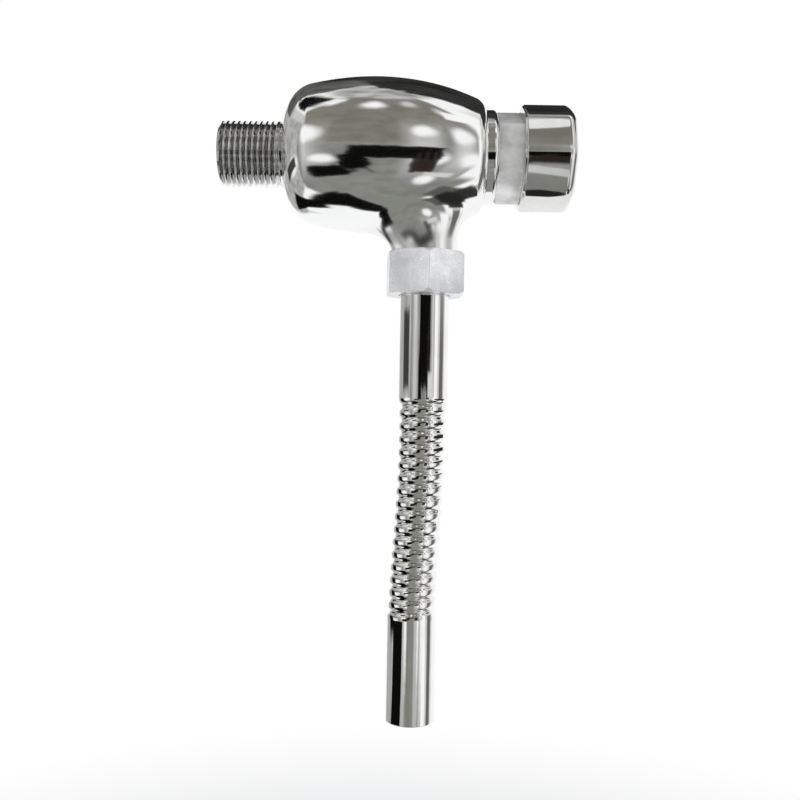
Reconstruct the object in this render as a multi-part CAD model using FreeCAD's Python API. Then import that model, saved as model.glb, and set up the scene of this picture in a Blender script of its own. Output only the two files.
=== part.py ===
"""Self-closing flush valve with a bendable flush pipe, in millimetres.

X runs along the barrel from the inlet face to the push button, Z is up, and the origin is the
centre of the inlet face. The flush pipe hangs down from the branch.
"""
import FreeCAD, Part

import math
import os

# Inlet stub
INLET_THREAD_R = 10.4775
INLET_LENGTH = 20.8
INLET_BORE_R = 7.0
INLET_CHAMFER = 1.0

# Barrel of the cast body
BARREL_LENGTH = 64.9
CROWN_FROM_INLET = 30.4
CROWN_R = 24.8
CROWN_ARC_INLET_SIDE = 94.7
CROWN_ARC_BUTTON_SIDE = 82.4
RIM_ROUND_INLET_SIDE = 11.5
RIM_ROUND_BUTTON_SIDE = 5.25
COLLAR_R = 15.1
COLLAR_LENGTH = 3.4
COLLAR_CHAMFER = 0.5
CASTING_WALL = 3.4
MOUTH_WALL = 5.1
INNER_WALL_FROM_INLET = 18.8
INNER_WALL_THICKNESS = 4.0
CUT_OVERRUN = 1.0

# Branch of the cast body, measured from the barrel's button end and down from its axis
BRANCH_FROM_BUTTON_END = 18.9
BRANCH_R = 10.5
BRANCH_BLEND = 8.6
BRANCH_BORE_R = 7.2
BRANCH_THREAD_TOP = 31.3
BRANCH_THREAD_LENGTH = 8.9
BRANCH_THREAD_R = 10.4775
PIPE_SOCKET_DEPTH = 8.2

# Clearances
THREAD_GAP = 0.12
SLIDING_GAP = 0.05
SEAL_GAP = 0.08
LOOSE_GAP = 0.4
SEATED_GAP = 0.15
PIPE_GAP = 0.3
PISTON_GAP = 0.4
SPRING_GAP = 1.25

# Bonnet
BONNET_FLATS = 26.0
BONNET_TURN = 30.0
BONNET_HEX_LENGTH = 14.3
BONNET_SPIGOT_WALL = 2.2
BONNET_THREAD_LENGTH = 13.2
BONNET_THREAD_CHAMFER = 0.8
BONNET_REAR_CHAMFER = 0.5
BONNET_FRONT_CHAMFER = 1.8
CORNER_MARGIN = 0.1
BONNET_RING_WIDTH = 1.8
BONNET_RING_DEPTH = 1.2
SLEEVE_POCKET_DEPTH = 7.0
GLAND_FLOOR_THICKNESS = 2.6
GLAND_R = 5.6
GLAND_RING_WIDTH = 2.2
GLAND_RING_COUNT = 2
GLAND_RING_SPACING = 2.5
GLAND_NUT_LENGTH = 5.6
GLAND_NUT_SLOT = 1.2
NOSE_POCKET_R = 7.4

# Cartridge sleeve
SLEEVE_R = 9.8
SLEEVE_WALL = 1.4
SEAT_STANDOFF = 1.2
SEAT_SHOULDER = 3.0
SEAT_END_LENGTH = 6.2
SEAT_LIP = 0.6
SLEEVE_RING_WIDTH = 2.0
SLEEVE_RING_DEPTH = 1.2
SLEEVE_WASHER_THICKNESS = 1.0
WINDOW_COUNT = 4
WINDOW_WIDTH = 7.0
WINDOW_LENGTH = 9.5
WINDOW_FROM_GUIDE = 3.0

# Spindle and what it carries
SPINDLE_R = 3.0
SPINDLE_TAIL = 6.8
SPINDLE_CHAMFER = 0.5
GUIDE_THICKNESS = 2.2
GUIDE_HOLE_COUNT = 6
GUIDE_HOLE_R = 1.5
PLUG_SETBACK = 0.5
PLUG_THICKNESS = 3.0
PLUG_BEVEL = 1.0
PLUG_RIM = 1.6
PLUG_WASHER_INSET = 0.7
PLUG_WASHER_THICKNESS = 2.6
PLUG_NUT_FLATS = 10.0
PLUG_NUT_THICKNESS = 3.6
PISTON_LENGTH = 6.4
PISTON_FROM_GUIDE = 19.6
CUP_LENGTH = 3.0
CUP_LIP = 1.4
CUP_OUTER_EDGE = 0.6
CUP_INNER_EDGE = 0.4
BLEED_R = 0.4
CLIP_WIDTH = 1.6
CLIP_THICKNESS = 0.7
CLIP_OPENING = 3.4

# Return spring
SPRING_WIRE = 1.1
SPRING_TURNS = 5

# Push button
BUTTON_SIDES = 8
BUTTON_FLATS = 33.0
BUTTON_TURN = 14.6
BUTTON_LENGTH = 17.0
BUTTON_TRAVEL = 6.5
BUTTON_STOP_GAP = 1.5
BUTTON_CORNER_ROUND = 6.0
BUTTON_FRONT_ROUND = 3.0
BUTTON_FRONT_DOME = 0.5
BUTTON_REAR_CHAMFER = 0.7
BUTTON_FRONT_THICKNESS = 3.2
BUTTON_BOSS_R = 5.6
BUTTON_BOSS_LENGTH = 3.0
BUTTON_THREAD_DEPTH = 4.6
LOCK_NUT_FLATS = 10.0
LOCK_NUT_THICKNESS = 3.0

# Outlet union nut
OUTLET_NUT_WALL = 1.4
OUTLET_NUT_LENGTH = 13.8
OUTLET_NUT_COLLAR = 2.0
OUTLET_NUT_CHAMFER = 1.1
OUTLET_NUT_TURN = 4.4
NUT_TOP_GAP = 0.2
GASKET_THICKNESS = 2.2

# Flush pipe
PIPE_R = 8.0
PIPE_WALL = 0.8
PIPE_UPPER_LENGTH = 46.45
PIPE_LOWER_LENGTH = 33.6
PIPE_END_CHAMFER = 0.3
RIB_COUNT = 17
RIB_PITCH = 4.2
RIB_STEPS = 4
RIB_CREST_DROP = 0.3
GROOVE_DEPTH = 1.05
RIB_ROUNDNESS = 4
PIPE_SIDE_STEP = 2.6

# The outlet nut's flats leave its wall round the thread
OUTLET_NUT_FLATS = 2 * (BRANCH_THREAD_R + THREAD_GAP + OUTLET_NUT_WALL)

# Radii of the pieces that fit in and round the sleeve
SLEEVE_BORE_R = SLEEVE_R - SLEEVE_WALL
SEAT_BORE_R = SLEEVE_R - SEAT_SHOULDER
BONNET_THREAD_R = SLEEVE_R + BONNET_SPIGOT_WALL
GUIDE_HOLE_CIRCLE_R = (SPINDLE_R + SLEEVE_BORE_R) / 2
PLUG_R = SLEEVE_R - PLUG_SETBACK
PLUG_WASHER_R = PLUG_R - PLUG_WASHER_INSET
PISTON_R = SLEEVE_BORE_R - PISTON_GAP
PISTON_STEP_R = PISTON_R - 2 * CUP_LIP
CLIP_R = SPINDLE_R + CLIP_WIDTH
SPRING_COIL_R = SLEEVE_BORE_R - SPRING_GAP - SPRING_WIRE / 2

# Places along the barrel, worked out from the sizes above
BARREL_X = INLET_LENGTH
CROWN_X = BARREL_X + CROWN_FROM_INLET
BARREL_END_X = BARREL_X + BARREL_LENGTH
MOUTH_X = BARREL_END_X + COLLAR_LENGTH
BRANCH_X = BARREL_END_X - BRANCH_FROM_BUTTON_END
INNER_WALL_X = BARREL_X + INNER_WALL_FROM_INLET
INNER_WALL_END_X = INNER_WALL_X + INNER_WALL_THICKNESS
SEAT_X = INNER_WALL_X - SEAT_STANDOFF
GUIDE_X = SEAT_X + SEAT_END_LENGTH
GUIDE_END_X = GUIDE_X + GUIDE_THICKNESS
PISTON_X = GUIDE_END_X + PISTON_FROM_GUIDE
PISTON_END_X = PISTON_X + PISTON_LENGTH
SPIGOT_X = MOUTH_X - BONNET_THREAD_LENGTH
SLEEVE_POCKET_X = SPIGOT_X + SLEEVE_POCKET_DEPTH
SLEEVE_END_X = SLEEVE_POCKET_X - SLEEVE_WASHER_THICKNESS
GLAND_X = SLEEVE_POCKET_X + GLAND_FLOOR_THICKNESS
GLAND_NUT_X = GLAND_X + GLAND_RING_COUNT * GLAND_RING_SPACING
GLAND_NUT_END_X = GLAND_NUT_X + GLAND_NUT_LENGTH
BONNET_END_X = MOUTH_X + BONNET_HEX_LENGTH
BUTTON_X = MOUTH_X + BUTTON_TRAVEL + BUTTON_STOP_GAP
BUTTON_END_X = BUTTON_X + BUTTON_LENGTH
BUTTON_FLOOR_X = BUTTON_END_X - BUTTON_FRONT_THICKNESS
BUTTON_BOSS_X = BUTTON_FLOOR_X - BUTTON_BOSS_LENGTH
SPINDLE_END_X = BUTTON_BOSS_X + BUTTON_THREAD_DEPTH
PLUG_FACE_X = SEAT_X - PLUG_WASHER_THICKNESS
PLUG_X = PLUG_FACE_X - PLUG_THICKNESS
PLUG_NUT_X = PLUG_X - PLUG_NUT_THICKNESS
SPINDLE_X = PLUG_X - SPINDLE_TAIL

# Heights on the branch and the pipe, worked out from the sizes above
BRANCH_END_Z = -(BRANCH_THREAD_TOP + BRANCH_THREAD_LENGTH)
PIPE_TOP_Z = BRANCH_END_Z + PIPE_SOCKET_DEPTH - SEATED_GAP
NUT_TOP_Z = -(BRANCH_THREAD_TOP + NUT_TOP_GAP)
NUT_END_Z = NUT_TOP_Z - OUTLET_NUT_LENGTH
NUT_COLLAR_Z = NUT_END_Z + OUTLET_NUT_COLLAR
GASKET_END_Z = BRANCH_END_Z - GASKET_THICKNESS
RIBS_TOP_Z = PIPE_TOP_Z - PIPE_UPPER_LENGTH
RIBS_LENGTH = RIB_COUNT * RIB_PITCH
RIBS_END_Z = RIBS_TOP_Z - RIBS_LENGTH
PIPE_END_Z = RIBS_END_Z - PIPE_LOWER_LENGTH
PIPE_END_X = BRANCH_X - PIPE_SIDE_STEP

AXIS_X = FreeCAD.Vector(1, 0, 0)
AXIS_Y = FreeCAD.Vector(0, 1, 0)
AXIS_Z = FreeCAD.Vector(0, 0, 1)
ORIGIN = FreeCAD.Vector(0, 0, 0)
FULL_TURN = 360.0
EDGE_TOLERANCE = 0.01
EDGE_SAMPLES = 9


def turned(outline):
    """Turn a closed outline of (x, radius) corners about the barrel's axis."""
    corners = [FreeCAD.Vector(x, 0, radius) for x, radius in outline]
    face = Part.Face(Part.makePolygon(corners + corners[:1]))
    return face.revolve(ORIGIN, AXIS_X, FULL_TURN)


def tube(x_start, x_end, inner_r, outer_r):
    """Make a plain ring or tube on the barrel's axis."""
    return turned([(x_start, inner_r), (x_end, inner_r), (x_end, outer_r), (x_start, outer_r)])


def rod(x_start, x_end, radius):
    """Make a plain round bar on the barrel's axis."""
    return Part.makeCylinder(radius, x_end - x_start, FreeCAD.Vector(x_start, 0, 0), AXIS_X)


def upright_rod(x, z_start, z_end, radius):
    """Make a plain round bar that stands on z_start at the given x."""
    return Part.makeCylinder(radius, z_end - z_start, FreeCAD.Vector(x, 0, z_start), AXIS_Z)


def upright_tube(x, z_start, z_end, inner_r, outer_r):
    """Make a plain tube that stands on z_start at the given x."""
    return upright_rod(x, z_start, z_end, outer_r).cut(upright_rod(x, z_start, z_end, inner_r))


def chamfered_rod(x_start, x_end, radius, start_chamfer, end_chamfer):
    """Make a round bar on the barrel's axis with its end edges cut off at 45 degrees."""
    outline = [(x_start, 0), (x_start, radius - start_chamfer), (x_start + start_chamfer, radius)]
    outline += [(x_end - end_chamfer, radius), (x_end, radius - end_chamfer), (x_end, 0)]
    return turned([corner for i, corner in enumerate(outline) if corner not in outline[:i]])


def faceted_bar(sides, flats, x_start, x_end, turn=0.0):
    """Make a bar of equal sides on the barrel's axis; turn is a corner's angle from Y towards Z."""
    corner_r = flats / 2 / math.cos(math.pi / sides)
    corners = []
    for i in range(sides):
        angle = math.radians(turn + FULL_TURN * i / sides)
        y, z = corner_r * math.cos(angle), corner_r * math.sin(angle)
        corners.append(FreeCAD.Vector(x_start, y, z))
    face = Part.Face(Part.makePolygon(corners + corners[:1]))
    return face.extrude(AXIS_X * (x_end - x_start))


def as_solid(shape):
    """Take the one solid out of a boolean result and drop seams that split a face."""
    return shape.removeSplitter().Solids[0]


def barrel_r(x):
    """Give the radius of the barrel's crown arcs at x."""
    arc = CROWN_ARC_INLET_SIDE if x < CROWN_X else CROWN_ARC_BUTTON_SIDE
    return CROWN_R - arc + math.sqrt(arc ** 2 - (x - CROWN_X) ** 2)


def arc_edge(centre, radius, start_angle, end_angle):
    """Draw an arc in the plane of the barrel's outline, with angles in radians from X towards Z."""
    points = []
    for angle in (start_angle, (start_angle + end_angle) / 2, end_angle):
        x, z = centre[0] + radius * math.cos(angle), centre[1] + radius * math.sin(angle)
        points.append(FreeCAD.Vector(x, 0, z))
    return Part.Arc(*points).toShape()


def rim_centre(face_x, crown_arc, rim_round):
    """Place a rim's round so that it reaches the end's x and touches the crown's arc from inside."""
    x = face_x + math.copysign(rim_round, CROWN_X - face_x)
    z = CROWN_R - crown_arc + math.sqrt((crown_arc - rim_round) ** 2 - (x - CROWN_X) ** 2)
    return x, z


def barrel_blank():
    """Make the solid barrel with its rounded rims and its collar."""
    crest = math.pi / 2
    edges = []
    ends = []
    sides = ((BARREL_X, CROWN_ARC_INLET_SIDE, RIM_ROUND_INLET_SIDE, INLET_THREAD_R),
             (BARREL_END_X, CROWN_ARC_BUTTON_SIDE, RIM_ROUND_BUTTON_SIDE, COLLAR_R))
    for face_x, crown_arc, rim_round, neck_r in sides:
        rim = rim_centre(face_x, crown_arc, rim_round)
        crown = (CROWN_X, CROWN_R - crown_arc)
        touch = math.atan2(rim[1] - crown[1], rim[0] - crown[0])
        rise = math.asin(max(0, neck_r - rim[1]) / rim_round)
        rim_end = math.pi - rise if face_x < CROWN_X else rise
        edges.append(arc_edge(crown, crown_arc, crest, touch))
        edges.append(arc_edge(rim, rim_round, touch, rim_end))
        end_x, end_z = rim[0] + rim_round * math.cos(rim_end), rim[1] + rim_round * math.sin(rim_end)
        ends.append(FreeCAD.Vector(end_x, 0, end_z))
    corners = [(BARREL_END_X, COLLAR_R), (MOUTH_X - COLLAR_CHAMFER, COLLAR_R)]
    corners += [(MOUTH_X, COLLAR_R - COLLAR_CHAMFER), (MOUTH_X, 0), (ends[0].x, 0)]
    straight = [ends[1]] + [FreeCAD.Vector(x, 0, radius) for x, radius in corners] + [ends[0]]
    edges += Part.makePolygon(straight).Edges
    face = Part.Face(Part.Wire(Part.__sortEdges__(edges)))
    return face.revolve(ORIGIN, AXIS_X, FULL_TURN)


def blend_edges(shape):
    """Find the edges where the branch leaves the barrel."""
    found = []
    for edge in shape.Edges:
        points = edge.discretize(EDGE_SAMPLES)
        on_branch = all(abs(math.hypot(p.x - BRANCH_X, p.y) - BRANCH_R) < EDGE_TOLERANCE for p in points)
        heights = [p.z for p in points]
        is_level = max(heights) - min(heights) < EDGE_TOLERANCE
        is_seam = max(abs(p.y) for p in points) < EDGE_TOLERANCE
        if on_branch and max(heights) < 0 and not is_level and not is_seam:
            found.append(edge)
    return found


def body_cavities():
    """Make everything that is hollow inside the cast body."""
    chamber_x = BARREL_X + CASTING_WALL
    inlet_r = barrel_r(chamber_x) - RIM_ROUND_INLET_SIDE / 2
    chamber = turned([(chamber_x, 0), (chamber_x, inlet_r - CASTING_WALL),
                      (chamber_x + CASTING_WALL, inlet_r),
                      (INNER_WALL_X, barrel_r(INNER_WALL_X) - CASTING_WALL), (INNER_WALL_X, 0)])
    outlet = turned([(INNER_WALL_END_X, 0),
                     (INNER_WALL_END_X, barrel_r(INNER_WALL_END_X) - CASTING_WALL),
                     (CROWN_X, CROWN_R - CASTING_WALL),
                     (BRANCH_X, barrel_r(BRANCH_X) - CASTING_WALL),
                     (SPIGOT_X, barrel_r(SPIGOT_X) - MOUTH_WALL), (SPIGOT_X, 0)])
    bores = [
        rod(0, chamber_x + CUT_OVERRUN, INLET_BORE_R),
        rod(INNER_WALL_X - CUT_OVERRUN, INNER_WALL_END_X + CUT_OVERRUN, SLEEVE_R + SEAL_GAP),
        rod(SPIGOT_X - CUT_OVERRUN, MOUTH_X, BONNET_THREAD_R + THREAD_GAP),
        upright_rod(BRANCH_X, BRANCH_END_Z, -SLEEVE_R, BRANCH_BORE_R),
        upright_rod(BRANCH_X, BRANCH_END_Z, BRANCH_END_Z + PIPE_SOCKET_DEPTH, PIPE_R + PIPE_GAP),
    ]
    return chamber.fuse([outlet] + bores)


def make_valve_body():
    """Make the cast body: inlet stub, barrel, branch and their hollows."""
    stub = chamfered_rod(0, BARREL_X + CASTING_WALL, INLET_THREAD_R, INLET_CHAMFER, 0)
    branch = upright_rod(BRANCH_X, BRANCH_END_Z, 0, BRANCH_R)
    body = barrel_blank().fuse(branch)
    body = body.makeFillet(BRANCH_BLEND, blend_edges(body))
    body = body.fuse(stub)
    relief_z = BRANCH_END_Z - CUT_OVERRUN
    thread_relief = upright_tube(BRANCH_X, relief_z, -BRANCH_THREAD_TOP, BRANCH_THREAD_R, 2 * BRANCH_R)
    return as_solid(body.cut([thread_relief, body_cavities()]))


def make_bonnet():
    """Make the bonnet: hexagon, threaded spigot, sleeve pocket and gland."""
    corner_r = BONNET_FLATS / math.sqrt(3) + CORNER_MARGIN
    hexagon = faceted_bar(6, BONNET_FLATS, MOUTH_X, BONNET_END_X, BONNET_TURN)
    turned_blank = chamfered_rod(MOUTH_X, BONNET_END_X, corner_r, BONNET_REAR_CHAMFER, BONNET_FRONT_CHAMFER)
    hexagon = hexagon.common(turned_blank)
    spigot = chamfered_rod(SPIGOT_X, MOUTH_X, BONNET_THREAD_R, BONNET_THREAD_CHAMFER, 0)
    groove_r = BONNET_THREAD_R - BONNET_RING_DEPTH
    ring_groove = tube(MOUTH_X - BONNET_RING_WIDTH, MOUTH_X, groove_r, COLLAR_R)
    hollows = [
        ring_groove,
        rod(SPIGOT_X, SLEEVE_POCKET_X, SLEEVE_R + SEAL_GAP),
        rod(SLEEVE_POCKET_X, GLAND_X, SPINDLE_R + LOOSE_GAP),
        rod(GLAND_X, GLAND_NUT_END_X, GLAND_R),
        rod(GLAND_NUT_END_X, BONNET_END_X, NOSE_POCKET_R),
    ]
    return as_solid(hexagon.fuse(spigot).cut(hollows))


def make_bonnet_o_ring():
    """Make the ring that lies in the groove under the bonnet's hexagon."""
    inner_r = BONNET_THREAD_R - BONNET_RING_DEPTH + SLIDING_GAP
    return tube(MOUTH_X - BONNET_RING_WIDTH + SLIDING_GAP, MOUTH_X - SLIDING_GAP, inner_r, BONNET_THREAD_R)


def make_cartridge_sleeve():
    """Make the sleeve: seat at the inlet end, windows, and the dashpot's bore."""
    lip_r = SEAT_BORE_R + SEAT_LIP
    sleeve = turned([(SEAT_X, SEAT_BORE_R), (SEAT_X, lip_r), (SEAT_X + SEAT_LIP, lip_r + SEAT_LIP),
                     (SEAT_X + SEAT_LIP, SLEEVE_R), (SLEEVE_END_X, SLEEVE_R), (SLEEVE_END_X, SLEEVE_BORE_R),
                     (GUIDE_X, SLEEVE_BORE_R), (GUIDE_X, SEAT_BORE_R)])
    ring_x = (INNER_WALL_X + INNER_WALL_END_X - SLEEVE_RING_WIDTH) / 2
    groove = tube(ring_x, ring_x + SLEEVE_RING_WIDTH, SLEEVE_R - SLEEVE_RING_DEPTH, SLEEVE_R + CUT_OVERRUN)
    window_x = GUIDE_END_X + WINDOW_FROM_GUIDE
    cuts = [groove]
    for i in range(WINDOW_COUNT):
        window = Part.makeBox(WINDOW_LENGTH, WINDOW_WIDTH, SLEEVE_R + CUT_OVERRUN)
        window.translate(FreeCAD.Vector(window_x, -WINDOW_WIDTH / 2, 0))
        window.rotate(ORIGIN, AXIS_X, FULL_TURN * (i + 0.5) / WINDOW_COUNT)
        cuts.append(window)
    return as_solid(sleeve.cut(cuts))


def make_sleeve_o_ring():
    """Make the ring that seals the sleeve in the body's inner wall."""
    ring_x = (INNER_WALL_X + INNER_WALL_END_X - SLEEVE_RING_WIDTH) / 2
    inner_r = SLEEVE_R - SLEEVE_RING_DEPTH + SLIDING_GAP
    end_x = ring_x + SLEEVE_RING_WIDTH - SLIDING_GAP
    return tube(ring_x + SLIDING_GAP, end_x, inner_r, SLEEVE_R + SLIDING_GAP)


def make_sleeve_washer():
    """Make the washer between the sleeve's end and the bonnet."""
    return tube(SLEEVE_END_X, SLEEVE_POCKET_X, SLEEVE_BORE_R, SLEEVE_R)


def make_spindle_guide():
    """Make the drilled disc that guides the spindle and carries the spring."""
    disc = tube(GUIDE_X, GUIDE_END_X, SPINDLE_R + SLIDING_GAP, SLEEVE_BORE_R - SLIDING_GAP)
    holes = []
    for i in range(GUIDE_HOLE_COUNT):
        hole = rod(GUIDE_X, GUIDE_END_X, GUIDE_HOLE_R)
        hole.translate(AXIS_Z * GUIDE_HOLE_CIRCLE_R)
        hole.rotate(ORIGIN, AXIS_X, FULL_TURN * i / GUIDE_HOLE_COUNT)
        holes.append(hole)
    return as_solid(disc.cut(holes))


def make_gland_o_rings():
    """Make the rings that seal the spindle in the gland, as one group."""
    rings = []
    for i in range(GLAND_RING_COUNT):
        x = GLAND_X + SLIDING_GAP + i * GLAND_RING_SPACING
        rings.append(tube(x, x + GLAND_RING_WIDTH, SPINDLE_R + SEAL_GAP, GLAND_R - SLIDING_GAP))
    return Part.makeCompound(rings)


def make_gland_nut():
    """Make the slotted nut that closes the gland and guides the spindle."""
    nut = tube(GLAND_NUT_X, GLAND_NUT_END_X, SPINDLE_R + SLIDING_GAP, GLAND_R - SLIDING_GAP)
    slot = Part.makeBox(GLAND_NUT_SLOT, 2 * GLAND_R, GLAND_NUT_SLOT)
    slot.translate(FreeCAD.Vector(GLAND_NUT_END_X - GLAND_NUT_SLOT, -GLAND_R, -GLAND_NUT_SLOT / 2))
    return as_solid(nut.cut(slot))


def make_spindle():
    """Make the rod from the plug to the button."""
    return chamfered_rod(SPINDLE_X, SPINDLE_END_X, SPINDLE_R, SPINDLE_CHAMFER, SPINDLE_CHAMFER)


def make_valve_plug():
    """Make the metal cup that holds the plug washer."""
    bore_r = SPINDLE_R + SLIDING_GAP
    rim_inner_r = PLUG_WASHER_R + SLIDING_GAP
    rim_x = PLUG_FACE_X + PLUG_RIM
    return turned([(PLUG_X, bore_r), (PLUG_X, PLUG_R - PLUG_BEVEL), (PLUG_X + PLUG_BEVEL, PLUG_R),
                   (rim_x, PLUG_R), (rim_x, rim_inner_r), (PLUG_FACE_X, rim_inner_r), (PLUG_FACE_X, bore_r)])


def make_plug_washer():
    """Make the rubber disc that closes on the seat."""
    return tube(PLUG_FACE_X, SEAT_X, SPINDLE_R + SLIDING_GAP, PLUG_WASHER_R)


def make_plug_nut():
    """Make the nut that holds the plug on the spindle."""
    blank = faceted_bar(6, PLUG_NUT_FLATS, PLUG_NUT_X, PLUG_X)
    return as_solid(blank.cut(rod(PLUG_NUT_X, PLUG_X, SPINDLE_R + SLIDING_GAP)))


def make_piston():
    """Make the dashpot's piston with its bleed hole and the step for the cup seal."""
    piston = turned([(PISTON_X, SPINDLE_R + SLIDING_GAP), (PISTON_X, PISTON_R),
                     (PISTON_END_X - CUP_LENGTH, PISTON_R), (PISTON_END_X - CUP_LENGTH, PISTON_STEP_R),
                     (PISTON_END_X, PISTON_STEP_R), (PISTON_END_X, SPINDLE_R + SLIDING_GAP)])
    bleed = rod(PISTON_X, PISTON_END_X, BLEED_R)
    bleed.translate(AXIS_Z * (SPINDLE_R + PISTON_STEP_R) / 2)
    return as_solid(piston.cut(bleed))


def make_piston_cup_seal():
    """Make the lip seal on the piston's step, open towards the button."""
    inner_r = PISTON_STEP_R + SLIDING_GAP
    lip_r = SLEEVE_BORE_R - SEAL_GAP
    base_x = PISTON_END_X - CUP_LENGTH
    return turned([(base_x, inner_r), (base_x, PISTON_R), (PISTON_END_X, lip_r),
                   (PISTON_END_X, lip_r - CUP_OUTER_EDGE), (base_x + CUP_LIP, PISTON_R - CUP_LIP / 2),
                   (base_x + CUP_LIP, inner_r + CUP_LIP / 2), (PISTON_END_X, inner_r + CUP_INNER_EDGE),
                   (PISTON_END_X, inner_r)])


def make_piston_circlips():
    """Make the two open clips that hold the piston on the spindle, as one group."""
    clips = []
    for x in (PISTON_X - CLIP_THICKNESS, PISTON_END_X):
        ring = tube(x, x + CLIP_THICKNESS, SPINDLE_R + SLIDING_GAP, CLIP_R)
        opening = Part.makeBox(CLIP_THICKNESS, CLIP_OPENING, CLIP_R)
        opening.translate(FreeCAD.Vector(x, -CLIP_OPENING / 2, -CLIP_R))
        clips.append(as_solid(ring.cut(opening)))
    return Part.makeCompound(clips)


def biarc(start, start_way, end, end_way):
    """Join two points by two arcs that keep both directions and meet smoothly."""
    chord = end - start
    ways = start_way + end_way
    square = 2 * (1 - start_way.dot(end_way))
    along = chord.dot(ways)
    reach = (math.sqrt(along ** 2 + square * chord.dot(chord)) - along) / square
    first_corner = start + start_way * reach
    second_corner = end - end_way * reach
    joint = (first_corner + second_corner) * 0.5
    return [tangent_arc(start, first_corner, joint), tangent_arc(joint, second_corner, end)]


def tangent_arc(start, corner, end):
    """Draw the arc that touches both legs of an even corner at their ends."""
    middle = (start + end) * 0.5
    half_chord = (end - start).Length / 2
    rise = (corner - middle).Length
    bulge = half_chord * math.tan(math.atan2(rise, half_chord) / 2)
    return Part.Arc(start, middle + (corner - middle) * (bulge / rise), end).toShape()


def spring_point(turn, x_start, pitch):
    """Give a point of the spring's centre line and its direction after some turns."""
    angle = 2 * math.pi * turn
    y, z = SPRING_COIL_R * math.cos(angle), SPRING_COIL_R * math.sin(angle)
    point = FreeCAD.Vector(x_start + pitch * turn, y, z)
    rate = FreeCAD.Vector(pitch / (2 * math.pi), -z, y)
    return point, rate.normalize()


def make_return_spring():
    """Make the compression spring between the guide and the piston, as one square wire."""
    x_start = GUIDE_END_X + SPRING_WIRE / 2 + SEATED_GAP
    x_end = PISTON_X - SPRING_WIRE / 2 - SEATED_GAP
    pitch = (x_end - x_start) / SPRING_TURNS
    print("spring: least gap between turns %.2f mm" % (pitch - SPRING_WIRE))
    arcs = []
    for i in range(2 * SPRING_TURNS):
        start, start_way = spring_point(i / 2, x_start, pitch)
        end, end_way = spring_point((i + 1) / 2, x_start, pitch)
        arcs += biarc(start, start_way, end, end_way)
    path = Part.Wire(arcs)
    start, start_way = spring_point(0, x_start, pitch)
    across = AXIS_Y * (SPRING_WIRE / 2)
    along = start_way.cross(AXIS_Y).normalize() * (SPRING_WIRE / 2)
    corners = [start + across + along, start - across + along, start - across - along, start + across - along]
    section = Part.makePolygon(corners + corners[:1])
    shell = Part.BRepOffsetAPI.MakePipeShell(path)
    shell.add(section)
    shell.build()
    shell.makeSolid()
    return shell.shape()


def make_button():
    """Make the hollow push cap: rounded octagon, domed front, hexagonal socket and threaded boss."""
    cap = faceted_bar(BUTTON_SIDES, BUTTON_FLATS, BUTTON_X, BUTTON_END_X - BUTTON_FRONT_DOME, BUTTON_TURN)
    long_edges = [e for e in cap.Edges if e.BoundBox.XLength > BUTTON_LENGTH / 2]
    cap = cap.makeFillet(BUTTON_CORNER_ROUND, long_edges)
    front_x = BUTTON_END_X - BUTTON_FRONT_DOME
    front_edges = [e for e in cap.Edges if e.BoundBox.XMin > front_x - EDGE_TOLERANCE]
    cap = cap.makeFillet(BUTTON_FRONT_ROUND, front_edges)
    rear_edges = [e for e in cap.Edges if e.BoundBox.XMax < BUTTON_X + EDGE_TOLERANCE]
    cap = cap.makeChamfer(BUTTON_REAR_CHAMFER, rear_edges)
    socket_flats = BONNET_FLATS + 2 * LOOSE_GAP
    socket = faceted_bar(6, socket_flats, BUTTON_X, BUTTON_FLOOR_X, BONNET_TURN)
    dome_base_r = BUTTON_FLATS / 2 - BUTTON_FRONT_ROUND
    dome_r = (dome_base_r ** 2 + BUTTON_FRONT_DOME ** 2) / (2 * BUTTON_FRONT_DOME)
    dome = Part.makeSphere(dome_r, FreeCAD.Vector(BUTTON_END_X - dome_r, 0, 0))
    dome = dome.common(rod(front_x - BUTTON_FRONT_DOME, BUTTON_END_X, dome_base_r))
    boss = rod(BUTTON_BOSS_X, BUTTON_FLOOR_X, BUTTON_BOSS_R)
    hole = rod(BUTTON_BOSS_X, SPINDLE_END_X + SEATED_GAP, SPINDLE_R + SLIDING_GAP)
    return as_solid(cap.cut(socket).fuse([boss, dome]).cut(hole))


def make_button_lock_nut():
    """Make the nut that locks the button on the spindle."""
    start_x = BUTTON_BOSS_X - LOCK_NUT_THICKNESS
    blank = faceted_bar(6, LOCK_NUT_FLATS, start_x, BUTTON_BOSS_X)
    return as_solid(blank.cut(rod(start_x, BUTTON_BOSS_X, SPINDLE_R + SLIDING_GAP)))


def make_outlet_nut():
    """Make the union nut: chamfered hexagon with a thread bore and a collar."""
    height = NUT_TOP_Z - NUT_END_Z
    corner_r = OUTLET_NUT_FLATS / math.sqrt(3)
    nut = faceted_bar(6, OUTLET_NUT_FLATS, -height / 2, height / 2)
    turned_blank = chamfered_rod(-height / 2, height / 2, corner_r, OUTLET_NUT_CHAMFER, OUTLET_NUT_CHAMFER)
    nut = nut.common(turned_blank)
    nut.rotate(ORIGIN, AXIS_Y, 90)
    nut.rotate(ORIGIN, AXIS_Z, OUTLET_NUT_TURN)
    nut.translate(FreeCAD.Vector(BRANCH_X, 0, (NUT_TOP_Z + NUT_END_Z) / 2))
    thread = upright_rod(BRANCH_X, NUT_COLLAR_Z, NUT_TOP_Z, BRANCH_THREAD_R + THREAD_GAP)
    hole = upright_rod(BRANCH_X, NUT_END_Z, NUT_COLLAR_Z, PIPE_R + PIPE_GAP)
    return as_solid(nut.cut([thread, hole]))


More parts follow.
